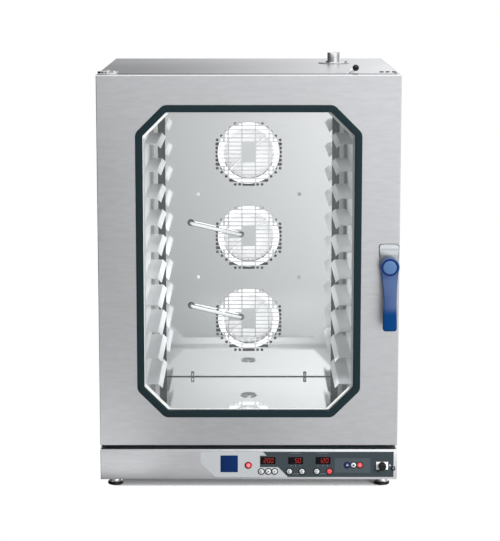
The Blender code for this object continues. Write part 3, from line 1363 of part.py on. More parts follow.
def build_chamber():
    make_chamber_wrapper()
    make_chamber_floor()
    make_chamber_rear()
    make_insulation()
    make_strainer()
    make_rack("rack_left", -1)
    make_rack("rack_right", 1)
    make_fan_panel()
    for fan, z in FANS.items():
        make_motor(f"fan_motor_{fan}", z)
        make_heater(f"heater_coil_{fan}", z)
        if fan in INJECTED_FANS:
            make_injector(f"water_injector_{fan}", z)
        axis = axis_empty(f"fan_axis_{fan}", (0, y_at(CHAMBER_REAR), z))
        carry(axis, make_fan_wheel(f"fan_wheel_{fan}", z))


def build_door():
    hinge = axis_empty("door_axis", (PIN_X, y_at(PIN_SETBACK), DOOR_MIDDLE))
    carry(hinge, make_door_skin(), make_inner_pan(), make_window_rubber(), make_outer_glass(),
          make_inner_glass(), make_backplate())
    turn = axis_empty("handle_axis", (HANDLE_X, y_at(0), HANDLE_Z), hinge)
    carry(turn, make_lever(), make_spindle())


def build_controls():
    make_fascia()
    make_overlay()
    make_board()
    make_lamp()
    make_probe_socket()
    make_probe_cap()
    for name, x, z, colour in button_places():
        make_button(name, x, z, colour)


def build_damper():
    axis = axis_empty("damper_axis", (CHIMNEY_X, y_at(CHIMNEY_DEPTH), DAMPER_Z))
    carry(axis, make_damper_shaft(), make_damper_knob())


build_cabinet()
build_chamber()
build_door()
build_controls()
build_damper()
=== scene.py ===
# %% [markdown]
# # A combi steamer oven
# The oven is a steel cabinet on four feet with a glazed door, a lever latch and a strip of controls.
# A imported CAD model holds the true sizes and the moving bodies, so it is loaded first and never moved.
# Everything below is dressed around it: each new piece rides on a CAD body, and many stand in for a node.

import json
import math

import bmesh
import bpy
from mathutils import Matrix, Vector


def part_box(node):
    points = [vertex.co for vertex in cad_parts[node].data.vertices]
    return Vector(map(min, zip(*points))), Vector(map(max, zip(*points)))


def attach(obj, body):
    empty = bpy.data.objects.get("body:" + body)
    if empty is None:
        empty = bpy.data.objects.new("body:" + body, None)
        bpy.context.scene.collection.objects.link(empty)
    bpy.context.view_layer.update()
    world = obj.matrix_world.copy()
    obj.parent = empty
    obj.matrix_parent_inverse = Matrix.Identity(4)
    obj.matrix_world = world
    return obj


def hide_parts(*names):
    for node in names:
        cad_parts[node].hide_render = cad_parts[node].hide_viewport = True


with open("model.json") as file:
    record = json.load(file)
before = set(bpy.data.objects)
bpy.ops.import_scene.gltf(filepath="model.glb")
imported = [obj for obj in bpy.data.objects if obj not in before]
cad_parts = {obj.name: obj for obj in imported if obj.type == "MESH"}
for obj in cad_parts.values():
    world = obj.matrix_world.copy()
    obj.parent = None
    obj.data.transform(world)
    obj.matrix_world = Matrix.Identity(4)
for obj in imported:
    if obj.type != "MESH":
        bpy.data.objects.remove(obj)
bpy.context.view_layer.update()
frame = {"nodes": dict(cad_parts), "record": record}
bodies = frame["record"]["behaviour"]["bodies"]
BODY = {node: body for body, nodes in bodies.items() for node in nodes}
FANS = ("low", "mid", "top")
INJECTED = ("low", "mid")

# %% [markdown]
# ## Where the camera stands
# The photograph is taken from a little above the oven, and its uprights stay upright as in a shop catalogue.
# A view camera does that by sliding its lens; here a small shift is enough, with a gentle tilt for the rest.
# The distance decides how much of the chamber's sides shows, so it was fitted to the photograph's corners.

# %% The camera
PICTURE_HEIGHT = 541
FOCAL_PIXELS = 1810.7
CAMERA_X = -0.001
CAMERA_HEIGHT = 1.4388
CAMERA_DISTANCE = 4.7343
CAMERA_PITCH = math.radians(8.81)
LENS_SHIFT = (0.0031, -0.07)

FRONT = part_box("door_skin")[0].y

scene = bpy.context.scene
scene.view_settings.view_transform = "Standard"
eye = bpy.data.cameras.new("camera")
eye.lens = FOCAL_PIXELS / PICTURE_HEIGHT * eye.sensor_width
eye.shift_x, eye.shift_y = LENS_SHIFT
camera = bpy.data.objects.new("camera", eye)
camera.location = (CAMERA_X, FRONT - CAMERA_DISTANCE, CAMERA_HEIGHT)
camera.rotation_euler = (math.pi / 2 - CAMERA_PITCH, 0, 0)
scene.collection.objects.link(camera)
scene.camera = camera
print(f"camera: {eye.lens:.1f} mm lens, {CAMERA_DISTANCE:.2f} m in front of the door")

# %% [markdown]
# ## A small shader kit
# A material in Blender is a graph of nodes, and long graphs are hard to read when each link is written out.
# Two classes keep it short: one wraps a node's output so that plain arithmetic adds Math nodes to the graph.
# The other owns the graph, and has a single method that adds any kind of node with its settings and sockets.

# %% Arithmetic on a node's output
def operator(operation, swapped=False):
    """A method that adds a Math node. Swapped, it serves a number on the left, as in 1 - mask."""
    def act(self, other):
        first, second = (other, self) if swapped else (self, other)
        return self.graph.node("ShaderNodeMath", {"operation": operation}, {0: first, 1: second})
    return act


class Output:
    """One output of a node. Python's arithmetic on it becomes Math nodes."""

    def __init__(self, graph, socket):
        self.graph = graph
        self.socket = socket

    __add__, __radd__ = operator("ADD"), operator("ADD", True)
    __sub__, __rsub__ = operator("SUBTRACT"), operator("SUBTRACT", True)
    __mul__, __rmul__ = operator("MULTIPLY"), operator("MULTIPLY", True)
    greater = operator("MAXIMUM")


print("outputs can be added, subtracted and multiplied")

# %% A graph, and a finish that owns one
class Graph:
    """A node graph, with one method that adds a node and wires it up."""

    def __init__(self, tree):
        self.tree = tree
        tree.nodes.clear()

    def node(self, kind, settings=None, sockets=None, out=0):
        made = self.tree.nodes.new(kind)
        for name, value in (settings or {}).items():
            setattr(made, name, value)
        for name, value in (sockets or {}).items():
            if isinstance(value, Output):
                self.tree.links.new(value.socket, made.inputs[name])
            else:
                made.inputs[name].default_value = value
        return Output(self, made.outputs[out]) if made.outputs else None

    def ramp(self, value, start, end, low, high):
        """Carries a value softly from one level to another as it crosses a span."""
        return self.node("ShaderNodeMapRange", {"interpolation_type": "SMOOTHSTEP"},
                         {"Value": value, "From Min": start, "From Max": end, "To Min": low, "To Max": high})

    def axes(self, out="Object"):
        """The x, y and z of the point being shaded."""
        spot = self.node("ShaderNodeTexCoord", out=out)
        return [self.node("ShaderNodeSeparateXYZ", {}, {0: spot}, out=axis) for axis in "XYZ"]

    def noise(self, grain, detail=2.0):
        """Soft random grain. A higher number along an axis makes it finer along that axis."""
        spot = self.node("ShaderNodeTexCoord", out="Object")
        stretched = self.node("ShaderNodeMapping", {}, {"Vector": spot, "Scale": grain})
        return self.node("ShaderNodeTexNoise", {}, {"Vector": stretched, "Scale": 1.0, "Detail": detail})

    def between(self, factor, first, second):
        """A colour that goes from the first to the second."""
        return self.node("ShaderNodeMix", {"data_type": "RGBA"}, {0: factor, 6: first, 7: second}, out=2)


class Finish(Graph):
    """A named surface, and the record's material slot that it belongs to."""

    def __init__(self, name, slot=""):
        self.material = bpy.data.materials.new(name)
        self.material.use_nodes = True
        self.slot = slot
        super().__init__(self.material.node_tree)

    def surface(self, tint, roughness, metallic=0.0, **more):
        """Closes the graph with a shader. Further sockets are named with _ for a space."""
        sockets = {"Base Color": tint, "Roughness": roughness, "Metallic": metallic}
        sockets.update({name.replace("_", " "): value for name, value in more.items()})
        shader = self.node("ShaderNodeBsdfPrincipled", {}, sockets)
        self.node("ShaderNodeOutputMaterial", {}, {"Surface": shader})
        return self


print("shader kit ready")

# %% [markdown]
# ## The studio
# The photograph was taken on white, with broad light from the right and above and a darker room on the left.
# A picture of a room could be wrapped round the oven, but a few soft ramps are easier to tune.
# So the world is white to the camera, has grey walls for reflections, and lights rough things evenly.
# The floor is a pale sheet that ends in straight edges at the feet, so that a narrow shadow shows on white.

# %% The world
AMBIENT = 0.50
WHITE = (1, 1, 1, 1)
# Each change of light has the span in which it happens, and the level before and after it.
WALL_TURN = (-0.07, 0.11, 0.54, 0.985)
WALL_STRIPE = (0.045, 0.080, 0.0, 0.20)
WALL_RISE = (-0.20, 0.15, 1.0, 1.17)
WALL_TOP = (0.20, 0.34, 1.0, 0.74)
BACK_TURN = (-0.13, 0.13, 0.28, 1.08)
BEHIND = (-0.3, 0.3, 0.0, 1.0)
WING_TILT = (-0.6, 0.6, 0.70, 1.30)
WING_END = (0.36, 0.90, 1.0, 0.40)
BELOW = (-0.30, -0.04, 0.52, 1.0)
OVER_FRONT = (0.40, 0.52, 0.0, 1.0)
OVER_BACK = (0.45, 0.85, 0.0, 1.0)
CEILING = (0.60, 0.86, 1.75, 0.74)

world = bpy.data.worlds.new("studio")
scene.world = world
world.use_nodes = True
sky = Graph(world.node_tree)
side, ahead, up = sky.axes("Generated")
straight = sky.node("ShaderNodeLightPath", out="Is Camera Ray")
seen = straight
for ray in ("Is Glossy Ray", "Is Transmission Ray"):
    seen = seen.greater(sky.node("ShaderNodeLightPath", out=ray))
front_wall = sky.ramp(side, *WALL_TURN) + sky.ramp(side, *WALL_STRIPE)
front_wall = front_wall * sky.ramp(up, *WALL_RISE) * sky.ramp(up, *WALL_TOP)
behind = sky.ramp(ahead, *BEHIND)
walls = front_wall * (1 - behind) + sky.ramp(side, *BACK_TURN) * behind
wings = sky.ramp(side, *WING_TILT) * sky.ramp(side * side, *WING_END)
overhead = sky.ramp(up, *OVER_FRONT) * (1 - behind) + sky.ramp(up, *OVER_BACK) * behind
room = walls * wings * sky.ramp(up, *BELOW) * (1 - overhead) + sky.ramp(up, *CEILING) * overhead
mirrored = straight + (1 - straight) * room
strength = seen * mirrored + (1 - seen) * AMBIENT
light = sky.node("ShaderNodeBackground", {}, {"Color": WHITE, "Strength": strength})
sky.node("ShaderNodeOutputWorld", {}, {"Surface": light})
print(f"world: white to the camera, {AMBIENT} to rough surfaces")

# %% The floor
FLOOR_HALF = (0.60, 0.56)
FLOOR_FADE = ((0.352, 0.374), (0.310, 0.320))
FLOOR_TINT = (0.93, 0.93, 0.93, 1)
MATT = 0.9

paper = Finish("paper")
cover = 1.0
for offset, (near, far) in zip(paper.axes()[:2], FLOOR_FADE):
    cover = paper.ramp(offset * offset, near ** 2, far ** 2, 1, 0) * cover
paper.surface(FLOOR_TINT, MATT, Alpha=cover)


def as_object(name, bm, finish):
    """An object in the scene that takes over a bmesh's shape."""
    mesh = bpy.data.meshes.new(name)
    bm.to_mesh(mesh)
    bm.free()
    mesh.materials.append(finish.material)
    made = bpy.data.objects.new(name, mesh)
    scene.collection.objects.link(made)
    return made


ground = bmesh.new()
bmesh.ops.create_grid(ground, x_segments=1, y_segments=1, size=1.0)
bmesh.ops.scale(ground, vec=(*FLOOR_HALF, 1), verts=ground.verts)
floor = as_object("studio_floor", ground, paper)
floor.visible_glossy = False
print(f"floor: {2 * FLOOR_HALF[0]} by {2 * FLOOR_HALF[1]} m, clear beyond its fade")

# %% [markdown]
# ## Lamps and cards
# A soft lamp high on the right models the handle, one above lights the top, and a low one fills the chamber.
# The chamber has its own light: soft lamps behind the fan panel make the wheels shine through the slots.
# Polished steel shows its surroundings, so a grey card stands on the left and three bright ones lie in front.
# Only reflections see the cards, because a card that the camera saw would spoil the white picture.

# %% Lamps
OVEN_HEART = (0, 0, 0.6)


def middle(node):
    """The middle of a CAD node's box."""
    low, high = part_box(node)
    return (low + high) / 2


def area_lamp(name, spot, target, size, power, rise=None):
    """A soft lamp that looks at a point. It is square unless it is given a rise."""
    lamp = bpy.data.lights.new(name, "AREA")
    lamp.shape = "RECTANGLE"
    lamp.size = size
    lamp.size_y = rise or size
    lamp.energy = power
    holder = bpy.data.objects.new(name, lamp)
    holder.location = spot
    holder.rotation_euler = (Vector(target) - Vector(spot)).to_track_quat("-Z", "Y").to_euler()
    scene.collection.objects.link(holder)
    return holder


def hidden_lamp(name, spot, target, **settings):
    """A lamp that the camera and reflections don't see, so that it only lights rough surfaces."""
    lamp = area_lamp(name, spot, target, **settings)
    lamp.visible_camera = False
    lamp.visible_glossy = False


hidden_lamp("key_lamp", (2.2, -2.6, 2.8), OVEN_HEART, size=1.5, power=45)
area_lamp("top_lamp", (0.4, -0.3, 3.2), (0.4, -0.3, 1.0), size=3.4, power=31)
hidden_lamp("fill_lamp", (2.8, -3.6, 1.6), OVEN_HEART, size=1.4, power=300)
grille_front, grille_back = [corner.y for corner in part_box("fan_panel")]
for fan in FANS:
    z = middle(f"fan_wheel_{fan}").z
    hidden_lamp(f"wheel_lamp_{fan}", (0, grille_back + 0.003, z), (0, 1, z), size=0.19, power=0.22)
hidden_lamp("liner_lamp", (-0.06, grille_front - 0.01, 0.50), (-0.06, -1, 0.50), size=0.40, power=1.75)
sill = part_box("door_inner_pan")[0].y
hidden_lamp("sill_lamp", (0.03, sill + 0.085, 0.345), (0.03, sill - 0.015, 0.20),
            size=0.38, power=0.47, rise=0.05)
aside = grille_back + 0.040
hidden_lamp("corner_lamp", (-0.14, aside, 0.62), (-1, aside, 0.62), size=0.05, power=0.7, rise=0.78)
print(f"{len(bpy.data.lights)} soft lamps, outside and inside")

# %% Cards
CARD_LEVELS = (0.72, 0.48, 0.22)
CARD_LIFT = 0.001

card_grey = Finish("card_grey").surface((0.24, 0.24, 0.24, 1), MATT)
card_lights = [
    Finish(f"card_{level}").surface((0, 0, 0, 1), MATT, Emission_Color=WHITE, Emission_Strength=level)
    for level in CARD_LEVELS]
card_white, card_pale, card_dark = card_lights


def card(name, finish, corner, right, rise):
    """A card that only reflections see, from a corner along its two sides."""
    corner, right, rise = Vector(corner), Vector(right), Vector(rise)
    bm = bmesh.new()
    spots = (corner, corner + right, corner + right + rise, corner + rise)
    bm.faces.new([bm.verts.new(spot) for spot in spots])
    made = as_object(name, bm, finish)
    for kind in ("camera", "diffuse", "shadow", "transmission"):
        setattr(made, f"visible_{kind}", False)


card("left_card", card_grey, (-1.25, -1.35, 0.45), (0.72, -0.20, 0), (0, 0, 0.55))
card("low_card", card_white, (-1.00, -1.25, CARD_LIFT), (0.70, 0, 0), (0, 0.80, 0))
card("sill_card", card_pale, (-0.30, -0.74, CARD_LIFT), (0.42, 0, 0), (0, 0.29, 0))
card("shade_card", card_dark, (-0.30, -1.40, CARD_LIFT), (0.50, 0, 0), (0, 0.60, 0))
print("one grey card and three glowing ones")

# %% [markdown]
# ## Steel
# Most of the oven is stainless steel: satin outside, and almost a mirror on the fan panel and the floor.
# Satin steel is a metal whose roughness and tone carry fine stretched grain, along the way it was brushed.
# A photographed texture would need unwrapping, and noise that is stretched along one axis needs none.

# %% Brushed steel
STREAK_SHARE = 0.5
PATCH_SHARE = 0.4
SCUFF_SHARE = 1.7
TONE_MIDDLE = (1 - STREAK_SHARE - PATCH_SHARE - SCUFF_SHARE) / 2
PATCH_GRAIN = (2.5, 2.5, 2.5)
SCUFF_GRAIN = (30, 130, 130)
UPRIGHT = (900, 900, 12)
LEVEL = (12, 900, 900)
LENGTHWISE = (900, 12, 900)
EVEN = (60, 60, 60)
FINE_DETAIL = 3.0
BUMP_DEPTH = 0.0004
STREAK_GLOSS = 0.3


def colour(red, green, blue):
    """A screen colour of 0 to 255 as the linear light that Blender works in, by the sRGB curve."""
    levels = [level / 255 for level in (red, green, blue)]
    linear = [level / 12.92 if level <= 0.04045 else ((level + 0.055) / 1.055) ** 2.4 for level in levels]
    return linear + [1.0]


def shades(tint, spread):
    """A darker and a lighter version of a screen colour."""
    return [[min(level * factor, 1.0) for level in colour(*tint)[:3]] + [1.0]
            for factor in (1 - spread, 1 + spread)]


def steel(name, slot, tint, roughness, grain, contrast=0.05, bump=0.03, metallic=1.0):
    """Brushed metal: grain, coarser scuffs and broad patches in its tone, and grain in its gloss."""
    made = Finish(name, slot)
    streaks = made.noise(grain, FINE_DETAIL)
    tone = streaks * STREAK_SHARE + made.noise(PATCH_GRAIN) * PATCH_SHARE
    tone = tone + made.noise(SCUFF_GRAIN) * SCUFF_SHARE + TONE_MIDDLE
    shade = made.between(tone, *shades(tint, contrast))
    normal = made.node("ShaderNodeBump", {}, {"Strength": bump, "Distance": BUMP_DEPTH, "Height": streaks})
    gloss = (streaks - 0.5) * (roughness * STREAK_GLOSS) + roughness
    return made.surface(shade, gloss, metallic, Normal=normal)


door_steel = steel("door_steel", "brushed_steel", (221, 222, 225), 0.34, UPRIGHT)
fascia_steel = steel("fascia_steel", "brushed_steel", (232, 233, 236), 0.34, LEVEL)
panel_steel = steel("panel_steel", "brushed_steel", (206, 207, 210), 0.30, LEVEL)
side_steel = steel("side_steel", "brushed_steel", (214, 215, 218), 0.34, UPRIGHT)
pipe_steel = steel("pipe_steel", "brushed_steel", (206, 207, 208), 0.20, EVEN, 0.02, 0.01)
wall_steel = steel("wall_steel", "chamber_steel", (222, 223, 224), 0.30, LENGTHWISE, 0.02, 0.01, 0.80)
mirror_steel = steel("mirror_steel", "chamber_steel", (250, 251, 252), 0.05, LEVEL, 0.01, 0.0)
floor_steel = steel("floor_steel", "chamber_steel", (248, 249, 249), 0.06, LENGTHWISE, 0.01, 0.0)
wheel_steel = steel("wheel_steel", "chamber_steel", (246, 246, 247), 0.40, EVEN, 0.02, 0.01, 0.2)
# Dark steel for clips and nuts, and painted shade on the chamber's rear wall, the lower knuckle and the inlet
# arcs.
dark_steel_and_shade = steel("dark_steel_and_shade", "chamber_steel", (66, 68, 71), 0.45, EVEN, 0.05, 0.02)
zinc = steel("zinc", "zinc_sheet", (175, 178, 182), 0.45, EVEN, 0.12, 0.03)
print(f"eleven brushed steels, scuffed by {SCUFF_SHARE}")

# %% Steel with painted light and shade
RACK_SHADE_FADE = (0.24, 0.64)
RACK_ROUGH = 0.27
RACK_STREAKS = 0.10
LINER_LIT_BAND = (0.22, 0.30)
LINER_ROUGH = 0.26
LINER_STREAKS = 0.08
LINER_METAL = 0.60
LIT_BAND_METAL = 0.25
FLANK_SHADE = (0.16, 0.50)


def rack(name, upper, lower, metallic):
    """Ledge steel with painted shade: its tint is made darker low down."""
    made = Finish(name, "chamber_steel")
    high = made.ramp(made.axes()[2], *RACK_SHADE_FADE, 0.0, 1.0)
    tint = made.between(high, colour(*lower), colour(*upper))
    roughness = made.noise(LENGTHWISE, FINE_DETAIL) * RACK_STREAKS + RACK_ROUGH
    return made.surface(tint, roughness, metallic)


rack_steel = rack("rack_steel", (240, 241, 242), (200, 202, 204), 0.36)
# The right rack's copy is paler and less metallic: painted light on a rack that the lamps leave darker.
rack_painted_lit = rack("rack_painted_lit", (254, 254, 254), (196, 198, 200), 0.10)

# The liner's lower band is paler and less metallic: painted light on a strip that lies in shade.
liner_steel = Finish("liner_steel", "chamber_steel")
lit_band = liner_steel.ramp(liner_steel.axes()[2], *LINER_LIT_BAND, 1.0, 0.0)
liner_tint = liner_steel.between(lit_band, colour(206, 207, 208), colour(246, 246, 246))
liner_gloss = liner_steel.noise(LEVEL, FINE_DETAIL) * LINER_STREAKS + LINER_ROUGH
liner_steel.surface(liner_tint, liner_gloss, LINER_METAL - lit_band * (LINER_METAL - LIT_BAND_METAL))

# Tubes and studs darken where their surface turns away from the view: painted shade on their flanks.
tube_steel = Finish("tube_steel", "chamber_steel")
turning = tube_steel.node("ShaderNodeLayerWeight", {}, {"Blend": 0.5}, out="Facing")
flank_shade = tube_steel.ramp(turning, *FLANK_SHADE, 0.0, 1.0)
tube_steel.surface(tube_steel.between(flank_shade, colour(250, 250, 251), colour(74, 77, 81)), 0.30, 0.15)
print("racks, liner and tubes: two tints each")

# %% [markdown]
# ## Plastic, rubber and glass
# Handle, keys, films and rubber are plainer than the steel: one colour each, with a dull or a soft gloss.
# A single flat colour would look like paper, so each has a faint unevenness in its tone and its gloss.
# The glass is clear but for its sheen, which grows where it is seen at a slant, as on a real pane.

# %% Plain finishes
SPECK_GRAIN = (90, 90, 90)
SPECK_GLOSS = 0.2


def plain(name, slot, tint, roughness, metallic=0.0, unevenness=0.04, **more):
    """A moulded or painted surface, with slight patches in its tone and gloss."""
    made = Finish(name, slot)
    specks = made.noise(SPECK_GRAIN, FINE_DETAIL)
    shade = made.between(specks, *shades(tint, unevenness))
    return made.surface(shade, (specks - 0.5) * (roughness * SPECK_GLOSS) + roughness, metallic, **more)


bright = plain("bright_steel", "chrome", (228, 228, 230), 0.16, 1.0, 0.02)
satin = plain("satin_plate", "chrome", (186, 191, 194), 0.28, 1.0, 0.02)
socket_plate = plain("socket_plate", "chrome", (240, 240, 240), 0.30, 0.3, 0.02)
screw_steel = plain("screw_steel", "chamber_steel", (224, 225, 226), 0.20, 1.0, 0.02)
spoke_grey = plain("spoke_grey", "chamber_steel", (190, 191, 192), 0.5)
rubber = plain("window_rubber", "rubber", (20, 33, 37), 0.6, Specular_IOR_Level=0.15)
# The seal's pale grey is partly its silicone and partly painted light for the shaded strip at the window's
# foot.
seal = plain("door_seal_rubber", "seal_rubber", (160, 161, 162), 0.7)
# Black plastic; the same finish also paints shade in gaps and openings.
black = plain("black_plastic", "black_plastic", (14, 14, 16), 0.35, Specular_IOR_Level=0.30)
gloss_black = plain("gloss_black", "black_plastic", (8, 8, 10), 0.12, Specular_IOR_Level=0.35)
lens_black = plain("lens_black", "black_plastic", (10, 8, 10), 0.4, Specular_IOR_Level=0.1)
# The groove's darker blue is painted shade: a shaded copy of the handle's blue.
groove_shade = plain("groove_painted_shade", "blue_plastic", (0, 26, 78), 0.5, Specular_IOR_Level=0.2)
badge_blue = plain("badge_blue", "blue_plastic", (6, 32, 74), 0.5, Specular_IOR_Level=0.12)
# The disc's paler, coated blue is a painted sheen: a lit copy of the handle's blue.
disc_sheen_blue = plain("disc_sheen_blue", "blue_plastic", (60, 90, 126), 0.45, Specular_IOR_Level=0.2,
                  Coat_IOR=1.6, Coat_Roughness=0.4, Coat_Weight=0.6)
painted_light_white = plain("retainer_painted_light", "white_plastic", (248, 248, 248), 0.5)
white = plain("button_white", "white_plastic", (180, 183, 185), 0.4)
red = plain("button_red", "red_plastic", (206, 66, 70), 0.4)
pink = plain("button_pink", "red_plastic", (228, 116, 122), 0.4)
mode_blue = plain("button_navy", "mode_blue", (26, 34, 96), 0.35)
film = plain("dark_film", "overlay_film", (45, 53, 57), 0.5, Specular_IOR_Level=0.25)
film_light = plain("film_light", "overlay_film", (58, 66, 71), 0.5, Specular_IOR_Level=0.25)
film_mark = plain("film_mark", "overlay_film", (112, 119, 123), 0.5)
label = plain("label_film", "overlay_film", (154, 157, 159), 0.45)
wool = plain("mineral_wool", "mineral_wool", (196, 184, 140), 0.95, 0.0, 0.25)
motor = plain("motor_paint", "motor_paint", (96, 99, 102), 0.5, 0.3)
heater = plain("heater_metal", "heater_metal", (110, 106, 102), 0.45, 0.9, 0.1)
board = plain("board_green", "board_green", (40, 118, 70), 0.5)
brass = plain("brass", "brass", (206, 178, 110), 0.3, 1.0)
print(f"{len(bpy.data.materials)} materials so far")

# %% Lit things, the handle's blue, and glass
COAT_START = (0.493, 0.519)
SHEEN = 0.45
CLEAREST = 0.015

digits = Finish("red_digits", "red_plastic")
digits.surface(colour(120, 20, 20), 0.5, Emission_Color=colour(255, 52, 44), Emission_Strength=0.36)
glow = Finish("lamp_red", "red_plastic")
glow.surface(colour(186, 30, 36), 0.25, Emission_Color=colour(255, 60, 64), Emission_Strength=0.10)

blue = Finish("handle_blue", "blue_plastic")
coat = blue.ramp(blue.axes()[2], *COAT_START, 0.0, 1.0)
blue.surface(colour(0, 45, 91), 0.45, Specular_IOR_Level=0.12,
             Coat_IOR=1.8, Coat_Roughness=0.35, Coat_Weight=coat)

glass = Finish("door_glass", "glass")
slanted = glass.node("ShaderNodeFresnel", {}, {"IOR": 1.45})
glass.surface(colour(200, 208, 208), 0.03, Alpha=slanted * SHEEN + CLEAREST)
print(f"{len(bpy.data.materials)} materials in all")

# %% [markdown]
# ## The door
# The door is a folded steel pan with a big window, whose dark rubber holds the glass in the steel.
# A folded edge is never quite sharp: it catches a thin line of light, and that makes the steel look real.
# The CAD shapes are right, so they are copied, merged and only given narrow bevels where the sheet is folded.
# A frame behind the rubber keeps the glass in, and rides on the door's inner pan; its white is painted light
# on a strip that lies in shade.

# %% Soft-edged copies of CAD nodes
MERGE = 1e-5
TOUCH = 1e-4
FLAT = math.radians(1)


def place(name, bm, finish, like, stands_in=False, smooth=35):
    """Makes a bmesh a piece that rides with a CAD node and, if asked, stands in for it."""
    made = as_object(name, bm, finish)
    made.data.shade_smooth()
    made.data.set_sharp_from_angle(angle=math.radians(smooth))
    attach(made, BODY[like])
    if stands_in:
        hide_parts(like)


def copied(node):
    """A CAD node's shape, merged, with the triangles of each flat face joined."""
    bm = bmesh.new()
    bm.from_mesh(frame["nodes"][node].data)
    bmesh.ops.remove_doubles(bm, verts=bm.verts, dist=MERGE)
    bmesh.ops.dissolve_limit(bm, angle_limit=FLAT, verts=bm.verts, edges=bm.edges)
    return bm


def soften(bm, width, steps=3, where=None, bend=30):
    """Rounds the sharp edges, or those of them that a test picks."""
    edges = [edge for edge in bm.edges
             if len(edge.link_faces) == 2 and edge.calc_face_angle(0) > math.radians(bend)
             and (where is None or where(edge))]
    bmesh.ops.bevel(bm, geom=edges, offset=width, segments=steps, profile=0.5, affect="EDGES",
                    clamp_overlap=True, material=-1)
    return bm


def at_front(node):
    """A test for edges that lie on the front plane of a node."""
    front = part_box(node)[0].y
    return lambda edge: all(abs(vert.co.y - front) < TOUCH for vert in edge.verts)


def on_rim(node):
    """A test for edges along the outer corners of a node's box."""
    low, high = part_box(node)

    def shared(edge):
        planes = 0
        for axis in range(3):
            for limit in (low[axis], high[axis]):
                planes += all(abs(vert.co[axis] - limit) < TOUCH for vert in edge.verts)
        return planes >= 2
    return shared


def front_rim(node):
    """A test for the outer corners of a node's front."""
    rim, front = on_rim(node), at_front(node)
    return lambda edge: rim(edge) and front(edge)


def dress(node, name, finish, width, steps=3, where=None, smooth=35):
    """A soft-edged copy of a CAD node, which stands in for it."""
    place(name, soften(copied(node), width, steps, where), finish, node, True, smooth)


print("CAD nodes can be copied and softened")

# %% Plates and sheets
WELD = 1e-6


def from_curve(curve):
    """The bmesh of a curve, in place of the curve."""
    holder = bpy.data.objects.new("outline", curve)
    scene.collection.objects.link(holder)
    shape = holder.evaluated_get(bpy.context.evaluated_depsgraph_get())
    mesh = bpy.data.meshes.new_from_object(shape)
    bm = bmesh.new()
    bm.from_mesh(mesh)
    bpy.data.objects.remove(holder)
    bpy.data.meshes.remove(mesh)
    bmesh.ops.remove_doubles(bm, verts=bm.verts, dist=WELD)
    bmesh.ops.recalc_face_normals(bm, faces=bm.faces)
    return bm


def flat_solid(loops, thickness):
    """A flat solid about the X-Y plane, from closed outlines. Inner loops are holes."""
    curve = bpy.data.curves.new("outline", "CURVE")
    curve.dimensions = "2D"
    curve.fill_mode = "BOTH"
    curve.extrude = thickness / 2
    for loop in loops:
        spline = curve.splines.new("POLY")
        spline.points.add(len(loop) - 1)
        for point, (x, z) in zip(spline.points, loop):
            point.co = (x, z, 0, 1)
        spline.use_cyclic_u = True
    return from_curve(curve)


def plate(loops, near, far):
    """A plate that faces the front, between two depths behind the door's face, from (x, z) outlines."""
    bm = flat_solid(loops, far - near)
    upright = Matrix.Rotation(math.pi / 2, 4, "X")
    stand = Matrix.Translation((0, FRONT + (near + far) / 2, 0)) @ upright
    bmesh.ops.transform(bm, matrix=stand, verts=bm.verts)
    return bm


def sheet(loops, low, high):
    """A plate that lies flat between two heights, from (x, y) outlines."""
    bm = flat_solid(loops, high - low)
    bmesh.ops.translate(bm, vec=(0, 0, (low + high) / 2), verts=bm.verts)
    return bm


def rectangle(x, z):
    """The outline that fills two (low, high) spans."""
    return [(x[0], z[0]), (x[1], z[0]), (x[1], z[1]), (x[0], z[1])]


def span(origin, low, high):
    """Two distances from an origin as a (low, high) span."""
    return (origin + low, origin + high)


print("outlines can become plates and sheets")

# %% The door
WINDOW_CUT = 0.070
RETAINER_OUT = 0.024
RETAINER_LAP = 0.009
RETAINER_DEPTHS = (0.0115, 0.0130)
VENT_X = (-0.345, 0.392)
VENT_DEPTHS = (0.036, 0.056)
VENT_LIFT = (0.0001, 0.0004)

dress("door_skin", "door_shell", door_steel, width=0.002, steps=4, where=front_rim("door_skin"), smooth=8)
dress("window_gasket", "glazing_rubber", rubber, width=0.0012, where=at_front("window_gasket"))
place("door_liner", copied("door_inner_pan"), liner_steel, "door_inner_pan", True)
dress("door_seal", "seal_ring", seal, width=0.003, where=at_front("door_seal"))


def window_loop(grow):
    """The window's cut-corner outline, let out from the outer glass by a distance."""
    low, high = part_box("outer_glass")
    x, foot, top = high.x + grow, low.z - grow, high.z + grow
    cut_x, cut_foot, cut_top = x - WINDOW_CUT, foot + WINDOW_CUT, top - WINDOW_CUT
    return [(x, cut_foot), (x, cut_top), (cut_x, top), (-cut_x, top),
            (-x, cut_top), (-x, cut_foot), (-cut_x, foot), (cut_x, foot)]


retainer = [window_loop(RETAINER_OUT), window_loop(-RETAINER_LAP)]
# The retainer's white is painted light on a strip that lies in shade.
place("glass_retainer", plate(retainer, *RETAINER_DEPTHS), painted_light_white, "door_inner_pan")
door_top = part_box("door_skin")[1].z
vent = sheet([rectangle(VENT_X, span(FRONT, *VENT_DEPTHS))], *span(door_top, *VENT_LIFT))
place("door_vent", vent, black, "door_skin")
print("door: shell, rubber, liner, retainer, vent and seal")

# %% [markdown]
# ## The handle
# The handle is a blue lever on a silver plate: a round hub with a capped middle, and an arm that leans out.
# The arm is a quad carried down through a few stations by extrusion, and its long edges are then rounded.
# A box with a bend would be quicker, but the arm's waist and lean are what one notices first.
# The hub, its groove and its disc are round, so they are turned from a profile; the groove's darker blue is
# painted shade and the disc's paler blue a painted sheen.

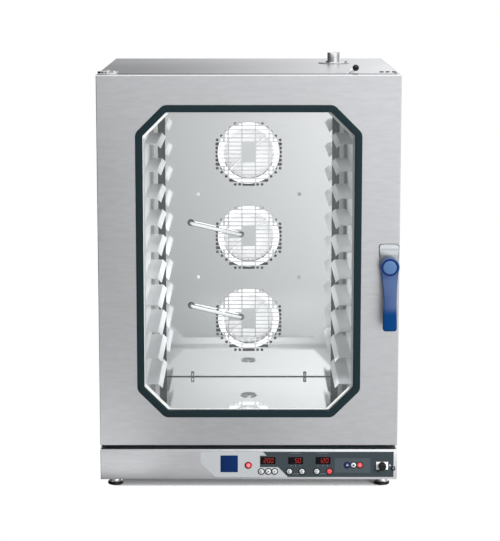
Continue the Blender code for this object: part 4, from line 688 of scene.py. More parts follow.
# %% The lever's arm
# Each station has the drop below the hub's middle, the width, and the share of the lean.
LEVER_STATIONS = (
    (0.006, 0.0496, 0.00), (0.024, 0.0446, 0.00), (0.034, 0.0420, 0.14), (0.050, 0.0388, 0.38),
    (0.068, 0.0364, 0.62), (0.086, 0.0352, 0.82), (0.104, 0.0350, 0.95), (0.122, 0.0357, 1.00),
    (0.142, 0.0368, 1.00), (0.156, 0.0372, 1.00), (0.167, 0.0372, 1.00),
)
LEVER_THICK = 0.015
LEVER_LEAN = 0.0256
LONG_EDGE = 0.0075
END_EDGE = 0.0040
HUB_RADIUS = 0.0262

lever_low, lever_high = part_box("handle_lever")
hub = Vector((middle("handle_lever").x, 0, lever_high.z - HUB_RADIUS))


def lever_arm():
    """A quad extruded down through the stations, with soft long edges."""
    arm_front = lever_low.y + LEVER_LEAN
    bm = bmesh.new()
    drop, width = LEVER_STATIONS[0][:2]

    def corner(across, back):
        return bm.verts.new((hub.x + across * width / 2, arm_front + back * LEVER_THICK, hub.z - drop))

    face = bm.faces.new([corner(-1, 0), corner(1, 0), corner(1, 1), corner(-1, 1)])
    before = LEVER_STATIONS[0]
    for station in LEVER_STATIONS[1:]:
        face = bmesh.ops.extrude_discrete_faces(bm, faces=[face])["faces"][0]
        step = (0, -(station[2] - before[2]) * LEVER_LEAN, before[0] - station[0])
        bmesh.ops.translate(bm, vec=step, verts=face.verts)
        for vert in face.verts:
            vert.co.x = hub.x + (vert.co.x - hub.x) * station[1] / before[1]
        before = station
    bmesh.ops.holes_fill(bm, edges=bm.edges, sides=4)
    bmesh.ops.recalc_face_normals(bm, faces=bm.faces)
    tip = hub.z - LEVER_STATIONS[-1][0] + TOUCH
    soften(bm, LONG_EDGE, 5, lambda edge: abs(edge.verts[0].co.x - edge.verts[1].co.x) < MERGE
           and all(vert.co.z < tip for vert in edge.verts))
    return soften(bm, END_EDGE, 4, bend=50)


place("lever_arm", lever_arm(), blue, "handle_lever", True)
print(f"lever: an arm through {len(LEVER_STATIONS)} stations")

# %% The lever's hub
GROOVE_RADIUS = 0.0225
DISC_RADIUS = 0.0180
HUB_LENGTH = 0.026
SUNK = HUB_LENGTH - 0.001
FINE = 64
FORWARD = (0, -1, 0)
BACKWARD = (0, 1, 0)
UPWARD = (0, 0, 1)


def turned(profile, centre, facing=UPWARD, steps=48):
    """A turned solid from (radius, height) points. Its height runs along the facing."""
    bm = bmesh.new()
    points = [bm.verts.new((radius, 0, height)) for radius, height in profile]
    edges = [bm.edges.new(pair) for pair in zip(points, points[1:])]
    if profile[0][0] > 0:
        edges.append(bm.edges.new((points[-1], points[0])))
    bmesh.ops.spin(bm, geom=points + edges, cent=(0, 0, 0), axis=(0, 0, 1), angle=2 * math.pi,
                   steps=steps, use_merge=True)
    bmesh.ops.remove_doubles(bm, verts=bm.verts, dist=WELD)
    bmesh.ops.recalc_face_normals(bm, faces=bm.faces)
    turn = Vector(facing).to_track_quat("Z", "Y").to_matrix().to_4x4()
    bmesh.ops.transform(bm, matrix=Matrix.Translation(centre) @ turn, verts=bm.verts)
    return bm


hub_profile = [(0, 0), (HUB_RADIUS, 0), (HUB_RADIUS, HUB_LENGTH - 0.003), (HUB_RADIUS - 0.001, SUNK),
               (HUB_RADIUS - 0.0022, HUB_LENGTH), (0, HUB_LENGTH)]
groove_profile = [(0, SUNK), (GROOVE_RADIUS, SUNK), (GROOVE_RADIUS, HUB_LENGTH + 0.0008),
                  (0, HUB_LENGTH + 0.0008)]
disc_profile = [(0, SUNK), (DISC_RADIUS, SUNK), (DISC_RADIUS, HUB_LENGTH + 0.0010),
                (DISC_RADIUS - 0.0008, HUB_LENGTH + 0.0018), (DISC_RADIUS - 0.003, HUB_LENGTH + 0.0023),
                (0, HUB_LENGTH + 0.0025)]
for name, profile, finish in (("lever_hub", hub_profile, blue), ("hub_groove", groove_profile, groove_shade),
                              ("hub_disc", disc_profile, disc_sheen_blue)):
    place(name, turned(profile, (hub.x, lever_high.y, hub.z), FORWARD, FINE), finish, "handle_lever")
print("hub, groove and disc")

# %% The handle's plate
PLATE_INSET = 0.0008
PLATE_EDGE = 0.0018
SHADOW_RIM_DEPTHS = (-0.0018, -0.0004)
LEAN_DROP = 0.014
LEAN_SLOPE = 0.35
MARGIN = 0.0005

plate_low, plate_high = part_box("handle_backplate")


def plate_loop(grow):
    """The waisted outline of the handle's plate, let out all round by a distance."""
    half = (plate_high.x - plate_low.x) / 2 - PLATE_INSET + grow
    top, foot = plate_high.z - PLATE_INSET + grow, plate_low.z + PLATE_INSET - grow
    side_line = [(half - 0.0140, foot), (half - 0.0110, foot + 0.010), (half - 0.0085, hub.z - 0.026),
                 (half - 0.0030, hub.z), (half - 0.0008, top - 0.030), (half, top - 0.005),
                 (half - 0.005, top - 0.0006), (half * 0.4, top)]
    return [(hub.x + x, z) for x, z in side_line] + [(hub.x - x, z) for x, z in reversed(side_line)]


def backplate():
    """The plate, with its upper edge leaned back so that it catches the light from above."""
    bm = plate([plate_loop(0)], plate_low.y - FRONT, plate_high.y - FRONT)
    bmesh.ops.dissolve_limit(bm, angle_limit=FLAT, verts=bm.verts, edges=bm.edges)
    lean_foot = plate_high.z - LEAN_DROP
    bmesh.ops.bisect_plane(bm, geom=bm.verts[:] + bm.edges[:] + bm.faces[:], plane_co=(0, 0, lean_foot),
                           plane_no=(0, 0, 1))
    for vert in bm.verts:
        if vert.co.z > lean_foot + MARGIN and vert.co.y < plate_low.y + TOUCH:
            vert.co.y += (vert.co.z - lean_foot) * LEAN_SLOPE
    seat = plate_high.y - MARGIN
    return soften(bm, PLATE_EDGE, 3, lambda edge: min(vert.co.y for vert in edge.verts) < seat)


place("handle_plate", backplate(), satin, "handle_backplate", True)
# A black rim let out round the plate paints the shadow line along its edge.
place("plate_shadow_rim", plate([plate_loop(PLATE_INSET)], *SHADOW_RIM_DEPTHS), black, "handle_backplate")
print("plate and gasket")

# %% [markdown]
# ## The cabinet
# Side, top and rear sheets are folded steel; their outer corners get a hair of a radius.
# The feet are black pads on bright shanks, turned with a round lower edge.
# The hinges are thick plates with a knuckle and screws, and the far corner keeps plugs for the other hand.
# Screws could be pictures on the sheet, but a small turned dome holds up in every light.

# %% The cabinet's sheets
SHEET_EDGE = 0.0006
FASCIA_EDGE = 0.0025
GAP_SHADE_INSET = 0.004
GAP_SHADE_DEPTHS = (0.0035, 0.058)
GAP_SHADE_THICK = 0.0004

for node, finish in (("left_side_panel", side_steel), ("right_side_panel", side_steel),
                     ("top_panel", panel_steel)):
    dress(node, node + "_sheet", finish, SHEET_EDGE, where=on_rim(node))
dress("control_fascia", "control_fascia_sheet", fascia_steel, FASCIA_EDGE, where=front_rim("control_fascia"))
# A dark film on the fascia's top, under the door, is painted shade for the gap between door and fascia.
fascia_low, fascia_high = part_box("control_fascia")
gap_shade_x = (fascia_low.x + GAP_SHADE_INSET, fascia_high.x - GAP_SHADE_INSET)
strip = sheet([rectangle(gap_shade_x, span(FRONT, *GAP_SHADE_DEPTHS))], *span(fascia_high.z, 0, GAP_SHADE_THICK))
place("gap_shade_strip", strip, film, "control_fascia")
print("sheets, and the strip under the door")

# %% The rear screws
# The dome's points are shares of the screw's radius.
SCREW_DOME = ((0, 0.35), (0.3, 0.35), (0.4, 0.5), (0.7, 0.42), (1.0, 0.15), (1.0, 0), (0, 0))
REAR_EDGE = 0.012
REAR_PITCH_X = 0.194
REAR_PITCH_Z = 0.2134


def joined(*shapes):
    """Several bmeshes as one."""
    whole = bmesh.new()
    for bm in shapes:
        mesh = bpy.data.meshes.new("part")
        bm.to_mesh(mesh)
        bm.free()
        whole.from_mesh(mesh)
        bpy.data.meshes.remove(mesh)
    return whole


def screw_head(spot, facing, radius=0.0045):
    """A low domed screw head with a cross-slot's dimple in its middle."""
    return turned([(r * radius, h * radius) for r, h in SCREW_DOME], spot, facing, 20)


rear_low, rear_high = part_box("rear_panel")
spots = [(rear_low.x + REAR_EDGE + column * REAR_PITCH_X, z) for column in range(5)
         for z in (rear_low.z + REAR_EDGE, rear_high.z - REAR_EDGE)]
spots += [(x, rear_low.z + REAR_EDGE + row * REAR_PITCH_Z) for row in range(1, 5)
          for x in (rear_low.x + REAR_EDGE, rear_high.x - REAR_EDGE)]
rear_screws = [screw_head((x, rear_high.y, z), BACKWARD) for x, z in spots]
place("rear_screws", joined(*rear_screws), screw_steel, "rear_panel")
print(f"{len(rear_screws)} rear screws")

# %% Feet
FOOT_PAD = [(0, 0), (0.0185, 0), (0.0205, 0.0008), (0.0215, 0.0025), (0.0215, 0.0055), (0.0208, 0.0068),
            (0.0190, 0.0074), (0, 0.0074)]
SHANK = [(0, 0.0075), (0.0175, 0.0075), (0.0185, 0.0090), (0.0160, 0.0140), (0.0160, 0.0296),
         (0.0060, 0.0296), (0.0060, 0.0430), (0, 0.0430)]
for corner in ("front_left", "front_right", "rear_left", "rear_right"):
    node = f"foot_{corner}"
    spot = (middle(node).x, middle(node).y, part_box(node)[0].z)
    place(f"pad_{corner}", turned(FOOT_PAD, spot), gloss_black, node, True)
    place(f"shank_{corner}", turned(SHANK, spot), bright, node)
print("four feet")

# %% Hinges
PIN_HEAD = [(0, 0), (0.0045, 0), (0.0045, 0.0035), (0.0038, 0.0045), (0, 0.0045)]
KNUCKLE = [(0, 0), (0.0055, 0), (0.0055, 0.0055), (0, 0.0055)]
PIN_SPOT = (0.0045, 0.018)
KNUCKLE_SPOT = (0.0060, 0.0125)
KNUCKLE_DROP = 0.0020
HINGE_SCREWS = ((0.008, 0.075), (0.0045, 0.040))
COVER_X = (0.008, 0.027)
COVER_DEPTHS = (0.008, 0.085)
COVER_HEIGHT = 0.005
SLITS_X = (0.013, 0.022)
SLIT_WIDTH = 0.003
SLIT_DEPTHS = (0.0076, 0.0081)
SLIT_RISE = (0.0008, 0.0042)


def block(x, y, z):
    """A box that fills three (low, high) spans."""
    bm = bmesh.new()
    bmesh.ops.create_cube(bm, size=1)
    spans = (x, y, z)
    bmesh.ops.scale(bm, vec=[high - low for low, high in spans], verts=bm.verts)
    bmesh.ops.translate(bm, vec=[(low + high) / 2 for low, high in spans], verts=bm.verts)
    return bm


def around(centre, size):
    """The (low, high) span of a size about its middle."""
    return span(centre, -size / 2, size / 2)


# The lower hinge is black and its knuckle dark steel: painted shade, since it sits in the door's shadow.
for node, finish in (("upper_hinge", panel_steel), ("lower_hinge", black)):
    dress(node, node + "_plate", finish, SHEET_EDGE, 2)
hinge_low, hinge_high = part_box("upper_hinge")
hinge_top = hinge_high.z
cover = block(span(hinge_low.x, *COVER_X), span(FRONT, *COVER_DEPTHS), span(hinge_top, 0, COVER_HEIGHT))
place("hinge_cover", soften(cover, width=0.001), panel_steel, "upper_hinge")
pin_spot = (hinge_low.x + PIN_SPOT[0], FRONT + PIN_SPOT[1], hinge_top)
place("hinge_pin_head", turned(PIN_HEAD, pin_spot), black, "upper_hinge")
# The slits are black plates, not openings: painted shade where the hinge has gaps.
slit_z = span(hinge_top, *SLIT_RISE)
slits = [rectangle(around(hinge_low.x + x, SLIT_WIDTH), slit_z) for x in SLITS_X]
place("hinge_slit_shades", plate(slits, *SLIT_DEPTHS), black, "upper_hinge")
hinge_screws = [screw_head((hinge_high.x - x, FRONT + depth, hinge_top), UPWARD, radius=0.0034)
                for x, depth in HINGE_SCREWS]
place("hinge_screws", joined(*hinge_screws), screw_steel, "upper_hinge")
# The knuckle's dark steel is painted shade.
lower_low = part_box("lower_hinge")[0]
knuckle_spot = (lower_low.x + KNUCKLE_SPOT[0], FRONT + KNUCKLE_SPOT[1], lower_low.z - KNUCKLE_DROP)
place("lower_knuckle", turned(KNUCKLE, knuckle_spot), dark_steel_and_shade, "lower_hinge")
print("two hinges")

# %% Plugs
PLUGS_X = (0.3555, 0.3715, 0.3885)
PLUG_DEPTH = 0.120
PLUG_HEIGHT = 0.0022
CORNER_PLUG = (0.391, 0.082)
CORNER_PLUG_HEIGHT = 0.0012


def arc(centre, radius, start, end, steps):
    """Points along an arc, from one angle to another in degrees."""
    points = []
    for step in range(steps + 1):
        angle = math.radians(start + (end - start) * step / steps)
        points.append((centre[0] + radius * math.cos(angle), centre[1] + radius * math.sin(angle)))
    return points


def on_circle(centre, radius, angle):
    """One point of a circle."""
    return arc(centre, radius, angle, angle, 1)[0]


def ring(centre, radius, steps=32):
    """A circle's outline."""
    return arc(centre, radius, 0, 360, steps)[:-1]


def oblong(centre, width, height, radius, steps=5):
    """A rectangle with round corners."""
    x, z = width / 2 - radius, height / 2 - radius
    loop = []
    for quarter, (across, up) in enumerate(((x, z), (-x, z), (-x, -z), (x, -z))):
        corner = (centre[0] + across, centre[1] + up)
        loop += arc(corner, radius, 90 * quarter, 90 * quarter + 90, steps)
    return loop


top_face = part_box("top_panel")[1].z
plugs = [oblong((x, FRONT + PLUG_DEPTH), width=0.011, height=0.012, radius=0.0030) for x in PLUGS_X]
place("hinge_plugs", sheet(plugs, *span(top_face, 0, PLUG_HEIGHT)), black, "top_panel")
corner_plug = ring((CORNER_PLUG[0], FRONT + CORNER_PLUG[1]), radius=0.004)
place("corner_plug", sheet([corner_plug], *span(top_face, 0, CORNER_PLUG_HEIGHT)), black, "top_panel")
print(f"{len(plugs)} hinge plugs and a corner plug")

# %% [markdown]
# ## The chimney and its damper
# Steam leaves through a short pipe with a rolled rim, on a round flange with three screws.
# A flap in the pipe turns with a shaft under the top, and a rod with a black ball sticks up through a slot.
# Pipe, flange and rim are one profile, turned once, because a joint between them would show as a crease.
# The duct below is turned apart, so that the shaft passes between the two lengths.

# %% The chimney
PIPE_RADIUS = 0.0185
PIPE_BORE = 0.0165
PIPE_TAIL = 0.007
DUCT_DROP = 0.019
BRIM = 0.0450
BRIM_THICK = 0.0020
BRIM_SCREWS = 0.035
BRIM_GAP = 0.0003

chimney_low, chimney_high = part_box("chimney")
chimney = middle("chimney")
rim = chimney_high.z
seat = top_face + BRIM_GAP
pipe = [(PIPE_BORE, seat - PIPE_TAIL), (PIPE_RADIUS, seat - PIPE_TAIL), (PIPE_RADIUS, seat),
        (BRIM - 0.001, seat), (BRIM, seat + 0.0006), (BRIM, seat + 0.0014), (BRIM - 0.001, seat + BRIM_THICK),
        (PIPE_RADIUS + 0.003, seat + BRIM_THICK), (PIPE_RADIUS + 0.0008, seat + 0.0028),
        (PIPE_RADIUS, seat + 0.005), (PIPE_RADIUS, rim - 0.0012), (PIPE_RADIUS - 0.0006, rim - 0.0003),
        (PIPE_RADIUS - 0.0010, rim), (PIPE_BORE + 0.0004, rim - 0.0003), (PIPE_BORE, rim - 0.0012)]
duct = [(PIPE_BORE, chimney_low.z), (PIPE_RADIUS, chimney_low.z), (PIPE_RADIUS, seat - DUCT_DROP),
        (PIPE_BORE, seat - DUCT_DROP)]
axis_foot = (chimney.x, chimney.y, 0)
place("chimney_pipe", turned(pipe, axis_foot, steps=FINE), pipe_steel, "chimney", True)
place("chimney_duct", turned(duct, axis_foot, steps=FINE), wall_steel, "chimney")
flange_screws = []
for angle in (0, 120, 240):
    x, y = on_circle((chimney.x, chimney.y), BRIM_SCREWS, angle)
    flange_screws.append(screw_head((x, y, seat + BRIM_THICK), UPWARD, radius=0.0050))
place("flange_screws", joined(*flange_screws), black, "chimney")
print(f"chimney: {1000 * (rim - top_face):.0f} mm above the top")

# %% The damper's knob
BALL_RADIUS = 0.00885
ROD_LEAN = math.radians(55)
COLLAR_DROP = 0.0145
ROD_COLLAR = [(0.0032, 0), (0.0058, 0), (0.0058, 0.006), (0.0050, 0.007), (0.0032, 0.007)]

knob = middle("damper_knob")
ball = bmesh.new()
bmesh.ops.create_uvsphere(ball, u_segments=32, v_segments=20, radius=BALL_RADIUS,
                          matrix=Matrix.Translation(knob))
place("damper_ball", ball, gloss_black, "damper_knob", True)
along_rod = Vector((math.sin(ROD_LEAN), 0, math.cos(ROD_LEAN)))
collar = turned(ROD_COLLAR, knob - along_rod * COLLAR_DROP, along_rod)
place("damper_collar", collar, screw_steel, "damper_knob")
print("ball and collar")

# %% [markdown]
# ## The chamber
# The chamber is folded from bright sheet, with a drain in the middle of its floor and a rack on each side.
# The racks' ledges catch the light on their edges, so their copies get a very narrow bevel.
# The floor's sheet and its drain pipe are made apart, because the pipe is round and the sheet is flat.
# The strainer's holes are real openings over a black disc, which paints the shade below them so that they
# stay dark from every side.

# %% Racks, floor and drain pipe
FINE_EDGE = 0.0005
SHEET = 0.0015
DRAIN_BORE = 0.0165
PIPE_START = 0.018
PIPE_OUTER = 0.020
PIPE_DROP = 0.080
PIPE_BEND = 0.045
PIPE_END = 0.026
SPOUT_LENGTH = 0.0256
SPOUT = [(0.0163, 0), (PIPE_OUTER, 0), (PIPE_OUTER, 0.0245), (0.0194, 0.0255), (0.0170, 0.0255),
         (0.0163, 0.0245)]


def tube(points, radius, sides=5, closed=False):
    """A round bar along straight runs."""
    curve = bpy.data.curves.new("route", "CURVE")
    curve.dimensions = "3D"
    curve.bevel_depth = radius
    curve.bevel_resolution = sides
    curve.use_fill_caps = True
    spline = curve.splines.new("POLY")
    spline.points.add(len(points) - 1)
    for point, spot in zip(spline.points, points):
        point.co = (*spot, 1)
    spline.use_cyclic_u = closed
    return from_curve(curve)


dress("rack_left", "rack_left_sheet", rack_steel, FINE_EDGE, 2)
# The right rack takes the paler copy, as painted light.
dress("rack_right", "rack_right_sheet", rack_painted_lit, FINE_EDGE, 2)
floor_low, floor_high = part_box("chamber_floor")
wrapper_low, wrapper_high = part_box("chamber_wrapper")
drain = middle("drain_strainer")
drain_spot = (drain.x, drain.y)
floor_edge = rectangle((floor_low.x, floor_high.x), (wrapper_low.y, wrapper_high.y))
floor_sheet = sheet([floor_edge, ring(drain_spot, DRAIN_BORE, 40)], floor_high.z - SHEET, floor_high.z)
place("floor_sheet", floor_sheet, floor_steel, "chamber_floor", True)
level = floor_high.z - PIPE_DROP
bend = [(drain.x, y, z) for y, z in arc((drain.y + PIPE_BEND, level + PIPE_BEND), PIPE_BEND, 180, 270, 10)]
route = [(*drain_spot, floor_high.z - PIPE_START)] + bend + [(drain.x, floor_high.y - PIPE_END, level)]
place("drain_pipe", tube(route, PIPE_OUTER, 7), screw_steel, "chamber_floor")
spout = turned(SPOUT, (drain.x, floor_high.y - SPOUT_LENGTH, level), BACKWARD)
place("drain_spout", spout, screw_steel, "chamber_floor")
print("racks, floor and drain pipe")

# %% Strainer and flanges
STRAINER_RADIUS = 0.023
STRAINER_INNER = STRAINER_RADIUS - 0.0030
STRAINER_RIM = [(STRAINER_INNER, 0.0004), (STRAINER_RADIUS, 0.0004), (STRAINER_RADIUS - 0.0004, 0.0024),
                (STRAINER_RADIUS - 0.0015, 0.0033), (STRAINER_INNER, 0.0033)]
# Each circle of holes has its radius, the number of holes and their radius.
STRAINER_HOLES = ((0.0152, 12, 0.0031), (0.0080, 6, 0.0030), (0, 1, 0.0026))
CAP_INSET = 0.0018
CAP_LIFT = (0.0029, 0.0032)
SHADE_DISC_RADIUS = 0.0190
SHADE_DISC_LIFT = (0.0012, 0.0027)
FLANGE_WIDTH = 0.013
FLANGE_GAP = 0.0003
FLANGE_END = 0.002
FLANGE_DEPTHS = (-0.0020, -0.0005)

place("strainer", turned(STRAINER_RIM, (*drain_spot, floor_high.z)), screw_steel, "drain_strainer", True)
cap_loops = [ring(drain_spot, STRAINER_RADIUS - CAP_INSET, 48)]
for radius, count, hole in STRAINER_HOLES:
    cap_loops += [ring(on_circle(drain_spot, radius, 360 / count * turn), hole, 12) for turn in range(count)]
place("strainer_cap", sheet(cap_loops, *span(floor_high.z, *CAP_LIFT)), zinc, "drain_strainer")
# A black disc under the holes is painted shade for the drain beneath.
dark = sheet([ring(drain_spot, SHADE_DISC_RADIUS)], *span(floor_high.z, *SHADE_DISC_LIFT))
place("strainer_shade_disc", dark, black, "drain_strainer")

rear_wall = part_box("chamber_rear")[1].y - SHEET - FRONT
outer = wrapper_high.x - SHEET - FLANGE_GAP
inner = outer - FLANGE_WIDTH
flange_z = (wrapper_low.z + FLANGE_END, wrapper_high.z - FLANGE_END)
flanges = [rectangle((-outer, -inner), flange_z), rectangle((inner, outer), flange_z)]
place("corner_flanges", plate(flanges, *span(rear_wall, *FLANGE_DEPTHS)), wall_steel, "chamber_wrapper")
print(f"strainer with {len(cap_loops) - 1} holes, and two corner flanges")

# %% [markdown]
# ## The fan panel
# A polished sheet hides the fans, and a slotted grille opens in it in front of each wheel.
# Whole slots fill each grille's circle, and round holes take over where a slot would pass its edge.
# The middle of each grille stays blank in front of the motor's hub, and two grilles carry a water tube.
# A dark pattern painted on the sheet would be lighter work, but the wheels behind have to show through.

# %% The fan panel
GRILLE_RADIUS = 0.102
SLOT_LENGTH = 0.0360
SLOT_WIDTH = 0.0088
SLOT_CORNER = 0.0025
ROW_PITCH = 0.01176
COLUMN_PITCH = 0.039
DOT_REACH = 0.100
DOT_RADIUS = 0.0042
DOT_PITCH = 0.013
BLANK_BELOW = 0.025
BLANK_ABOVE = 0.036
CLEAR_X = 0.026
CLEAR_Z = 0.012
TUBE_RADIUS = 0.006
TUBE_HOLE = 0.0064

panel_low, panel_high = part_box("fan_panel")
panel_x = (panel_low.x, panel_high.x)
panel_y = (panel_low.y, panel_high.y)
fan_z = {fan: middle(f"fan_wheel_{fan}").z for fan in FANS}


def grille(z, keep_clear):
    """The outlines of one grille's slots and holes, away from the spots to keep clear."""
    rows = int(GRILLE_RADIUS / ROW_PITCH)
    columns = int(GRILLE_RADIUS / COLUMN_PITCH)
    for row in range(-rows, rows):
        rise = (row + 0.5) * ROW_PITCH
        reach = math.sqrt(GRILLE_RADIUS ** 2 - rise ** 2)
        for column in range(-columns, columns + 1):
            x = column * COLUMN_PITCH
            if column == 0 and -BLANK_BELOW < rise < BLANK_ABOVE:
                continue
            if any(abs(x - spot[0]) < CLEAR_X and abs(z + rise - spot[1]) < CLEAR_Z for spot in keep_clear):
                continue
            if abs(x) + SLOT_LENGTH / 2 <= reach:
                yield oblong((x, z + rise), SLOT_LENGTH, SLOT_WIDTH, SLOT_CORNER, 3)
                continue
            for step in (-1, 0, 1):
                dot = x + step * DOT_PITCH
                if math.hypot(dot, rise) <= DOT_REACH:
                    yield ring((dot, z + rise), DOT_RADIUS, 14)


panel_loops = [rectangle(panel_x, (panel_low.z, panel_high.z))]
tube_ends = {}
for fan in FANS:
    ends = []
    if fan in INJECTED:
        low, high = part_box(f"water_injector_{fan}")
        ends = [(low.x + TUBE_RADIUS, high.z - TUBE_RADIUS), (high.x - TUBE_RADIUS, low.z + TUBE_RADIUS)]
        panel_loops += [ring(end, TUBE_HOLE, 20) for end in ends]
        tube_ends[fan] = ends
    panel_loops += list(grille(fan_z[fan], ends[1:]))
panel_sheet = plate(panel_loops, panel_low.y - FRONT, panel_high.y - FRONT)
place("fan_panel_sheet", panel_sheet, mirror_steel, "fan_panel", True)
print(f"fan panel: {len(panel_loops) - 1} openings")

# %% The panel's studs, clips and foot
STUD_X = 0.147
STUD_RISE = 0.006
STUD_RADIUS = 0.0056
CLIPS_X = (-0.165, 0.165)
CLIP_WIDTH = 0.0092
CLIP_DROP = 0.0010
CLIP_EDGE = 0.0008
CLIP_HEIGHT = 0.0125
CLIP_DEPTHS = (-0.003, -0.0002)
FACE_WIDTH = 0.0050
FACE_RISE = (0.0005, 0.0095)
FACE_DEPTHS = (-0.0033, -0.003)
FOOT_RISE = 0.0024
FOOT_LIFT = 0.0004
FOOT_GAP = 0.0002

studs = []
for lower, upper in (("low", "mid"), ("mid", "top")):
    z = (fan_z[lower] + fan_z[upper]) / 2 + STUD_RISE
    studs += [screw_head((x, panel_low.y, z), FORWARD, STUD_RADIUS) for x in (-STUD_X, STUD_X)]
place("panel_screws", joined(*studs), tube_steel, "fan_panel")
clip_foot = panel_low.z - CLIP_DROP
clip_y, clip_z = span(panel_low.y, *CLIP_DEPTHS), span(clip_foot, 0, CLIP_HEIGHT)
clips = [soften(block(around(x, CLIP_WIDTH), clip_y, clip_z), CLIP_EDGE, 2) for x in CLIPS_X]
place("panel_clips", joined(*clips), dark_steel_and_shade, "fan_panel")
face_y, face_z = span(panel_low.y, *FACE_DEPTHS), span(clip_foot, *FACE_RISE)
faces = [block(around(x, FACE_WIDTH), face_y, face_z) for x in CLIPS_X]
place("clip_faces", joined(*faces), rack_steel, "fan_panel")
foot_line = floor_high.z + FOOT_RISE
place("panel_foot", block(panel_x, panel_y, (foot_line, panel_low.z - FOOT_GAP)), mirror_steel, "fan_panel")
# A black block between the foot and the chamber floor is painted shade for the gap under the panel.
place("panel_foot_shade", block(panel_x, panel_y, (floor_high.z + FOOT_LIFT, foot_line)), black, "fan_panel")
print(f"{len(studs)} studs, {len(clips)} clips and a foot")

# %% [markdown]
# ## Fans, injectors and what lies behind
# Each blower wheel has a back disc, blades and an inlet ring, and is seen in slices through its grille.
# The parts are turned, and the blades are one thin box turned round the axis again and again.
# A plain disc would do behind most slots, but it is the blades that make them glitter.
# The water tubes are bright, with a dark collar where each one comes through the panel.

# %% Fans
WHEEL_RADIUS = 0.0900
WHEEL_LENGTH = 0.060
WHEEL_SHEET = 0.002
INLET_RADIUS = 0.0733
INLET = [(INLET_RADIUS, WHEEL_LENGTH - WHEEL_SHEET), (WHEEL_RADIUS, WHEEL_LENGTH - WHEEL_SHEET),
         (WHEEL_RADIUS, WHEEL_LENGTH), (INLET_RADIUS, WHEEL_LENGTH)]
SHAFT_RADIUS = 0.006
BOSS_RADIUS = 0.018
BLADES = 28
BLADE_AT = 0.080
BLADE_SWEEP = math.radians(28)
BLADE_SIZE = Matrix.Diagonal((0.021, WHEEL_LENGTH - 0.003, 0.0012, 1))
SHADE_ARC_SPAN = (202, 338)
SHADE_ARC_RADIUS = 0.0012
SHADE_ARC_AHEAD = 0.0015
SPOKE_ANGLES = (42, 222)
SPOKE_REACH = (0.020, INLET_RADIUS + 0.002)
SPOKE_DEPTHS = (0.030, 0.006)
SPOKE_RADIUS = 0.0050


def blower_wheel(back, tail, z):
    """A wheel on its shaft's end: the back disc with its boss, the inlet ring and the swept blades."""
    disc = [(0, tail), (SHAFT_RADIUS, tail), (SHAFT_RADIUS, 0), (WHEEL_RADIUS, 0),
            (WHEEL_RADIUS, WHEEL_SHEET), (BOSS_RADIUS, WHEEL_SHEET), (BOSS_RADIUS, 0.026), (0.014, 0.030),
            (0, 0.030)]
    blades = bmesh.new()
    spot = Matrix.Translation((0, back - WHEEL_LENGTH / 2, z))
    out = Matrix.Translation((BLADE_AT, 0, 0)) @ Matrix.Rotation(BLADE_SWEEP, 4, "Y")
    for blade in range(BLADES):
        turn = Matrix.Rotation(2 * math.pi * blade / BLADES, 4, "Y")
        bmesh.ops.create_cube(blades, size=1, matrix=spot @ turn @ out @ BLADE_SIZE)
    rounds = [turned(profile, (0, back, z), FORWARD, FINE) for profile in (disc, INLET)]
    return joined(*rounds, blades)


def spoke(front, z, angle):
    """A bar from the boss out to the inlet ring."""
    (inner_x, inner_z), (outer_x, outer_z) = [
        on_circle((0, z), radius, angle) for radius in SPOKE_REACH]
    inner_y, outer_y = [front + depth for depth in SPOKE_DEPTHS]
    return tube([(inner_x, inner_y, inner_z), (outer_x, outer_y, outer_z)], SPOKE_RADIUS, 3)


for fan, z in fan_z.items():
    node = f"fan_wheel_{fan}"
    low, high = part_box(node)
    back = low.y + WHEEL_LENGTH
    place(f"blower_{fan}", blower_wheel(back, back - high.y, z), wheel_steel, node, True)
    # A dark arc along the lower half of each inlet ring is painted shade on the ring's edge; it stays with
    # the panel.
    lip = [(x, low.y - SHADE_ARC_AHEAD, height) for x, height in arc((0, z), INLET_RADIUS, *SHADE_ARC_SPAN, 32)]
    place(f"inlet_shade_arc_{fan}", tube(lip, SHADE_ARC_RADIUS, 2), dark_steel_and_shade, "fan_panel")
    spokes = [spoke(low.y, z, angle) for angle in SPOKE_ANGLES]
    place(f"spokes_{fan}", joined(*spokes), spoke_grey, node)
print(f"{len(fan_z)} blower wheels of {BLADES} blades")

# %% Water injectors
# Each step of the bend is a distance along the tube and a depth behind its run.
TUBE_BEND = ((0, 0.014), (0.001, 0.007), (0.005, 0.002), (0.012, 0))
TUBE_SLOPE = 0.25
TUBE_TAIL = 0.006
TUBE_GAP = 0.0001
NUT_GAP = 0.0002
NUT_BORE = TUBE_RADIUS + NUT_GAP
NUT = [(NUT_BORE, 0), (0.0098, 0), (0.0098, 0.003), (0.0088, 0.004), (NUT_BORE, 0.004)]
TIP_NUT = [(NUT_BORE, 0), (0.0082, 0), (0.0082, 0.002), (NUT_BORE, 0.002)]

for fan in INJECTED:
    node = f"water_injector_{fan}"
    low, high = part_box(node)
    start, tip = tube_ends[fan]
    bends = [(along, low.y + TUBE_RADIUS + back) for along, back in TUBE_BEND]
    first = [(start[0] + x, y, start[1] - x * TUBE_SLOPE) for x, y in [(0, high.y)] + bends]
    ending = bends[::-1] + [(0, panel_high.y + TUBE_TAIL)]
    last = [(tip[0] - x, y, tip[1] + x * TUBE_SLOPE) for x, y in ending]
    place(f"injector_tube_{fan}", tube(first + last, TUBE_RADIUS - TUBE_GAP, 7), tube_steel, node, True)
    for name, profile, (x, z) in (("nut", NUT, start), ("tip", TIP_NUT, tip)):
        collar = turned(profile, (x, panel_low.y - NUT_GAP, z), FORWARD)
        place(f"injector_{name}_{fan}", collar, dark_steel_and_shade, node)
print(f"{len(INJECTED)} water injectors")

